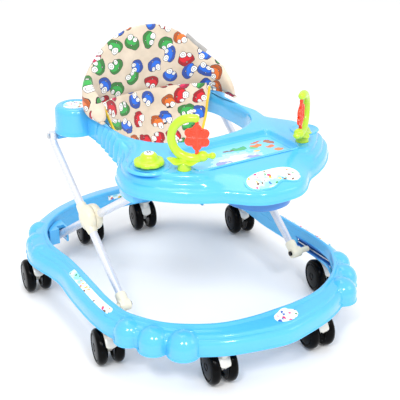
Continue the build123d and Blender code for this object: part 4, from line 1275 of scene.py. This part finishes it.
# the left wing is plumper and leans in over the arm
line_in = [(x + 25 * (1 - smooth01(84, 138, y)), y) if x < -90 else (x, y) for x, y in line_in]
L = len(line_in)
arc = [0.0]
for p, q in zip(line_in, line_in[1:]):
    arc.append(arc[-1] + hypot(q[0] - p[0], q[1] - p[1]))
half_arc = arc[-1] / 2


def back_top(x, y):
    """Top edge of the back: by |x| round the rear, and down along the wings towards the front."""
    z = interp(TOP, abs(x))
    wing = interp([(62, 398), (70, 412), (80, 422), (100, 442), (116, 459), (127, 470), (135, 481), (143, 498), (150, 560)], y)
    return min(z, wing)


def back_mesh(shrink=2.4, bottom=390.2, nv=44):
    """Closed pad between the inner and outer plan lines."""
    rows_b = []
    for j in range(nv + 1):
        t = j / nv
        row = []
        for k in range(L):
            (xi, yi), (xo, yo) = line_in[k], line_out[k]
            xm, ym = (xi + xo) / 2, (yi + yo) / 2
            zt = back_top(xm, ym) - 3.0
            # a thin edge at the top and the wings' fronts, full in the middle
            e = min(1.0, (t * (1 - t) * 4) ** 0.45 + 0.06)
            endk = min(k, L - 1 - k) / 9.0
            e *= min(1.0, (endk ** 0.5) * 0.85 + 0.15)
            z = bottom + (zt - bottom) * t
            hw = 0.5 * e
            row.append(((xm + (xi - xm) * 2 * hw * 0.80), (ym + (yi - ym) * 2 * hw * 0.80), z))
            row.append(((xm + (xo - xm) * 2 * hw * 0.80), (ym + (yo - ym) * 2 * hw * 0.80), z))
        rows_b.append(row)
    verts, faces = [p for r in rows_b for p in r], []
    w = 2 * L
    for j in range(nv):
        for k in range(L - 1):
            a = j * w + 2 * k
            faces.append([a, a + 2, a + w + 2, a + w])            # inner skin
            faces.append([a + 1, a + w + 1, a + w + 3, a + 3])    # outer skin
        a = j * w
        faces.append([a, a + w, a + w + 1, a + 1])
        a = j * w + 2 * (L - 1)
        faces.append([a, a + 1, a + w + 1, a + w])
    for j in (0, nv):
        for k in range(L - 1):
            a = j * w + 2 * k
            fce = [a, a + 1, a + 3, a + 2]
            faces.append(fce if j == 0 else fce[::-1])
    return verts, faces


def cloth_uv(ob, fn):
    me = ob.data
    at = me.attributes.get("cloth_uv") or me.attributes.new("cloth_uv", "FLOAT_VECTOR", "POINT")
    data = []
    for vtx in me.vertices:
        data += fn(vtx.co * 1000)
    at.data.foreach_set("vector", data)


def puff(ob, voxel, cap, hold, pressure=4.0, frames=20, subdiv=1):
    """Voxel remesh, a short Cloth run under pressure, capped and applied."""
    r = ob.modifiers.new("remesh", "REMESH")
    r.mode, r.voxel_size = "VOXEL", voxel * 0.001
    dg = bpy.context.evaluated_depsgraph_get()
    new = bpy.data.meshes.new_from_object(ob.evaluated_get(dg))
    ob.modifiers.clear()
    old, ob.data = ob.data, new
    bpy.data.meshes.remove(old)
    me = ob.data
    start = [vtx.co.copy() for vtx in me.vertices]
    grp = ob.vertex_groups.new(name="hold")
    for vtx in me.vertices:
        w = hold(vtx.co * 1000)
        if w > 0:
            grp.add([vtx.index], w, "REPLACE")
    c = ob.modifiers.new("cloth", "CLOTH")
    st = c.settings
    st.quality = 6
    st.mass = 0.3
    st.tension_stiffness = st.compression_stiffness = 12
    st.bending_stiffness = 1.2
    st.use_pressure = True
    st.uniform_pressure_force = pressure
    st.effector_weights.gravity = 0
    st.vertex_group_mass = "hold"
    st.pin_stiffness = 5
    c.point_cache.frame_start, c.point_cache.frame_end = 1, frames
    for fr in range(1, frames + 1):
        scene.frame_set(fr)
    dg = bpy.context.evaluated_depsgraph_get()
    ev = ob.evaluated_get(dg)
    res = [vtx.co.copy() for vtx in ev.data.vertices]
    ob.modifiers.remove(c)
    scene.frame_set(1)
    ob.vertex_groups.clear()
    for vtx, s0, p in zip(me.vertices, start, res):
        d = p - s0
        if d.length > cap * 0.001:
            d *= cap * 0.001 / d.length
        vtx.co = s0 + d
    me.polygons.foreach_set("use_smooth", [True] * len(me.polygons))
    sm = ob.modifiers.new("relax", "SMOOTH")
    sm.factor, sm.iterations = 0.5, 2
    if subdiv:
        sb = ob.modifiers.new("subdivision", "SUBSURF")
        sb.levels = sb.render_levels = subdiv


def nearest_arc(p):
    best, at = 1e9, 0.0
    for k in range(0, L - 1):
        (ax, ay), (bx, by) = line_in[k], line_in[k + 1]
        dx, dy = bx - ax, by - ay
        t = max(0.0, min(1.0, ((p.x - ax) * dx + (p.y - ay) * dy) / (dx * dx + dy * dy)))
        d = hypot(p.x - ax - dx * t, p.y - ay - dy * t)
        if d < best:
            best, at = d, arc[k] + t * hypot(dx, dy)
    return at


back = fixed(make("seat_back_pad", *back_mesh(), M_FABRIC, "tray", "fabric_print", ["seat_back"], sharp=0))


def hold_back(p):
    """1 on the stitched edges and the two sewn seams down the corners, easing to 0."""
    a = nearest_arc(p) - half_arc
    zt = back_top(p.x, p.y)
    d = min(zt - p.z, p.z - 390.0)
    w = 1 - smooth01(4, 20, d)
    for seam in (-112.0, 112.0):
        w = max(w, 0.9 * (1 - smooth01(2, 14, abs(a - seam))))
    w = max(w, 1 - smooth01(3, 14, half_arc - abs(a)))
    return w


puff(back, 5.0, 7.0, hold_back)
cloth_uv(back, lambda p: ((nearest_arc(p)) * 0.001, p.z * 0.001, 0.0))

# pan and sling: one continuous curved sheet from the back's lower seam to the front strap
SLING = [(152, 410), (147, 392), (140, 362), (118, 322), (88, 290), (55, 272), (10, 266), (-36, 287), (-76, 326), (-99, 346)]
sl = open_curve([(float(a), float(b)) for a, b in SLING], 8)
sarc = [0.0]
for p, q in zip(sl, sl[1:]):
    sarc.append(sarc[-1] + hypot(q[0] - p[0], q[1] - p[1]))
S_LEN = sarc[-1]


def half_width(t):
    """Half width of the sling at t (0 at the back seam, 1 at the front strap), in mm."""
    return interp([(0.0, 124), (0.05, 120), (0.12, 112), (0.20, 104), (0.30, 92), (0.40, 74), (0.50, 56), (0.58, 47), (0.66, 43), (0.80, 42), (1.0, 42)], t)


def sling_point(t, u):
    """Point at t along the sling and u (-1..1) across it; the rear part is dished like a seat."""
    d = t * S_LEN
    k = max(j for j in range(len(sarc)) if sarc[j] <= d + 1e-9)
    k = min(k, len(sarc) - 2)
    fr = (d - sarc[k]) / (sarc[k + 1] - sarc[k])
    y = sl[k][0] + (sl[k + 1][0] - sl[k][0]) * fr
    z = sl[k][1] + (sl[k + 1][1] - sl[k][1]) * fr
    w = half_width(t)
    rear = 1 - smooth01(0.10, 0.62, t)
    # the sides come forward and up round the child
    y -= rear * 44 * abs(u) ** 2.2
    z += (18 * smooth01(0.12, 0.35, t) * (1 - smooth01(0.45, 0.7, t)) + 5) * abs(u) ** 2
    x = u * w
    # soft wrinkles running up from the crotch
    wr = 1.1 * sin(u * 11 + t * 9) * smooth01(0.1, 0.4, t) * (1 - smooth01(0.75, 1.0, t))
    return Vector((x, y, z + wr))


def sheet_part(nt, nu, thick):
    top, bot = [], []
    for i in range(nt + 1):
        for j in range(nu + 1):
            t, u = i / nt, -1 + 2 * j / nu
            p = sling_point(t, u)
            e = 0.002
            pt = sling_point(min(1, t + e), u) - sling_point(max(0, t - e), u)
            pu = sling_point(t, min(1, u + e)) - sling_point(t, max(-1, u - e))
            nrm = pu.cross(pt)
            nrm = nrm.normalized() if nrm.length > 1e-9 else Vector((0, 0, 1))
            edge = min(1.0, (1 - abs(u)) * 9) * min(1.0, t * 25 + 0.1, (1 - t) * 25 + 0.1)
            th_ = thick * (0.35 + 0.65 * edge ** 0.5)
            top.append(tuple(p + nrm * th_ / 2))
            bot.append(tuple(p - nrm * th_ / 2))
    w = nu + 1
    verts = top + bot
    o = len(top)
    faces = []
    for i in range(nt):
        for j in range(nu):
            a = i * w + j
            faces.append([a, a + 1, a + w + 1, a + w])
            faces.append([o + a, o + a + w, o + a + w + 1, o + a + 1])
    for i in range(nt):
        for j in (0, nu):
            a = i * w + j
            faces.append([a, a + w, o + a + w, o + a])
    for i in (0, nt):
        for j in range(nu):
            a = i * w + j
            faces.append([a, o + a, o + a + 1, a + 1])
    return verts, faces


pan = fixed(make("seat_pan_sling", *sheet_part(110, 44, 6.0), M_FABRIC, "tray", "fabric_print", ["seat_sling"], sharp=0))


def pan_uv(p):
    best, at = 1e9, 0.0
    for k in range(len(sl) - 1):
        d = hypot(p.y + (44 if False else 0) - sl[k][0], p.z - sl[k][1])
        if d < best:
            best, at = d, sarc[k]
    return (p.x * 0.001 * 1.15 + 0.31, at * 0.001 + 0.017, 0.0)


cloth_uv(pan, pan_uv)
sb = pan.modifiers.new("subdivision", "SUBSURF")
sb.levels = sb.render_levels = 1

# binding round the leg openings
for u, side_name in ((1, "right"), (-1, "left")):
    pts = [tuple(sling_point(0.02 + 0.96 * k / 90, u)) for k in range(91)]
    b = fixed(make("leg_binding_" + side_name, *tube(pts, 2.6, 12, flat=[(1.0, 1.5)] * 91), M_YELLOW_RIBBON, "tray", "fabric_print", sharp=60))
# stitched hem along the wings' lower edges
for s, side_name in ((1, "right"), (-1, "left")):
    pts = []
    for k in range(41):
        q = k / 40 * 0.33
        i_ = int(q * (L - 1)) if s > 0 else (L - 1) - int(q * (L - 1))
        pts.append((line_in[i_][0] * 0.5 + line_out[i_][0] * 0.5, line_in[i_][1] * 0.5 + line_out[i_][1] * 0.5, 391.0))
    pts = [p for i, p in enumerate(pts) if i == 0 or Vector(p) != Vector(pts[i - 1])]
    hem = fixed(make("wing_hem_" + side_name, *tube(pts, 2.4, 12, flat=[(2.0, 1.0)] * len(pts)), M_FABRIC, "tray", "fabric_print", sharp=60))
    cloth_uv(hem, lambda p: (nearest_arc(p) * 0.001, 0.39, 0.0))

# short hem strip at the right of the back's top edge
hs = []
for k in range(13):
    q = k / 12
    x_ = 96 + 34 * q
    i_ = min(range(L // 2), key=lambda w_: abs(line_in[w_][0] - x_) + (0 if line_in[w_][1] > 100 else 1e3))
    (xi, yi), (xo, yo) = line_in[i_], line_out[i_]
    hs.append(((xi + xo) / 2, (yi + yo) / 2, back_top((xi + xo) / 2, (yi + yo) / 2) - 2.0))
hs = [p for i, p in enumerate(hs) if i == 0 or Vector(p) != Vector(hs[i - 1])]
if len(hs) > 3:
    fixed(make("top_hem_strip", *tube(hs, 3.0, 12, flat=[(1.5, 0.9)] * len(hs)), M_GREY_STRIP, "tray", "fabric_print", sharp=60))

# ------------------------------------------------------------ floor and light
def floor():
    me = bpy.data.meshes.new("floor")
    me.from_pydata([(-30, -30, 0), (30, -30, 0), (30, 30, 0), (-30, 30, 0)], [], [[0, 1, 2, 3]])
    ob = bpy.data.objects.new("floor", me)
    scene.collection.objects.link(ob)
    m = Mat("floor_white")
    n = m.noise(3.0, 2.0, 0.5)
    c = m.ramp(n.outputs["Fac"], [(0.3, (0.94, 0.945, 0.955)), (0.7, (0.955, 0.96, 0.97))])
    m.link(c.outputs[0], m.b.inputs["Base Color"])
    m.b.inputs["Roughness"].default_value = 0.55
    m.b.inputs["Specular IOR Level"].default_value = 0.25
    me.materials.append(m.m)


floor()
world = bpy.data.worlds.new("studio")
scene.world = world
world.use_nodes = True
bg = world.node_tree.nodes["Background"]
bg.inputs[0].default_value = (1.0, 1.0, 1.0, 1)
bg.inputs[1].default_value = 0.95


def area(name, loc, target, size, power, colour=(1, 1, 1)):
    d = bpy.data.lights.new(name, "AREA")
    d.shape, d.size, d.size_y, d.energy, d.color = "RECTANGLE", size[0], size[1], power, colour
    ob = bpy.data.objects.new(name, d)
    scene.collection.objects.link(ob)
    ob.location = loc
    ob.rotation_euler = (Vector(target) - Vector(loc)).to_track_quat("-Z", "Y").to_euler()


area("key", (-1.5, -1.5, 2.2), (0, 0, 0.2), (0.42, 0.42), 26)
area("key_b", (-0.3, -2.2, 2.1), (0, 0, 0.2), (0.42, 0.42), 20)
area("fill", (1.8, -1.8, 1.6), (0, 0, 0.2), (1.0, 1.0), 6)
area("top", (0.1, 0.6, 2.6), (0, 0, 0.2), (1.6, 1.6), 14)

cam_d = bpy.data.cameras.new("camera")
cam = bpy.data.objects.new("camera", cam_d)
scene.collection.objects.link(cam)
right, up, fwd = Vector((0.85046, -0.52605, 0.0)), Vector((0.22156, 0.35820, 0.90698)), Vector((0.4771, 0.7713, -0.4212))
rot = Matrix((right, up, -fwd)).transposed().to_4x4()
cam.matrix_world = Matrix.Translation((-0.8765, -1.4724, 1.0137)) @ rot
cam_d.lens, cam_d.sensor_width, cam_d.sensor_fit = 84.16, 36.0, "HORIZONTAL"
cam_d.clip_end = 60.0
scene.camera = cam
scene.view_settings.view_transform = "Standard"
scene.view_settings.look = "None"
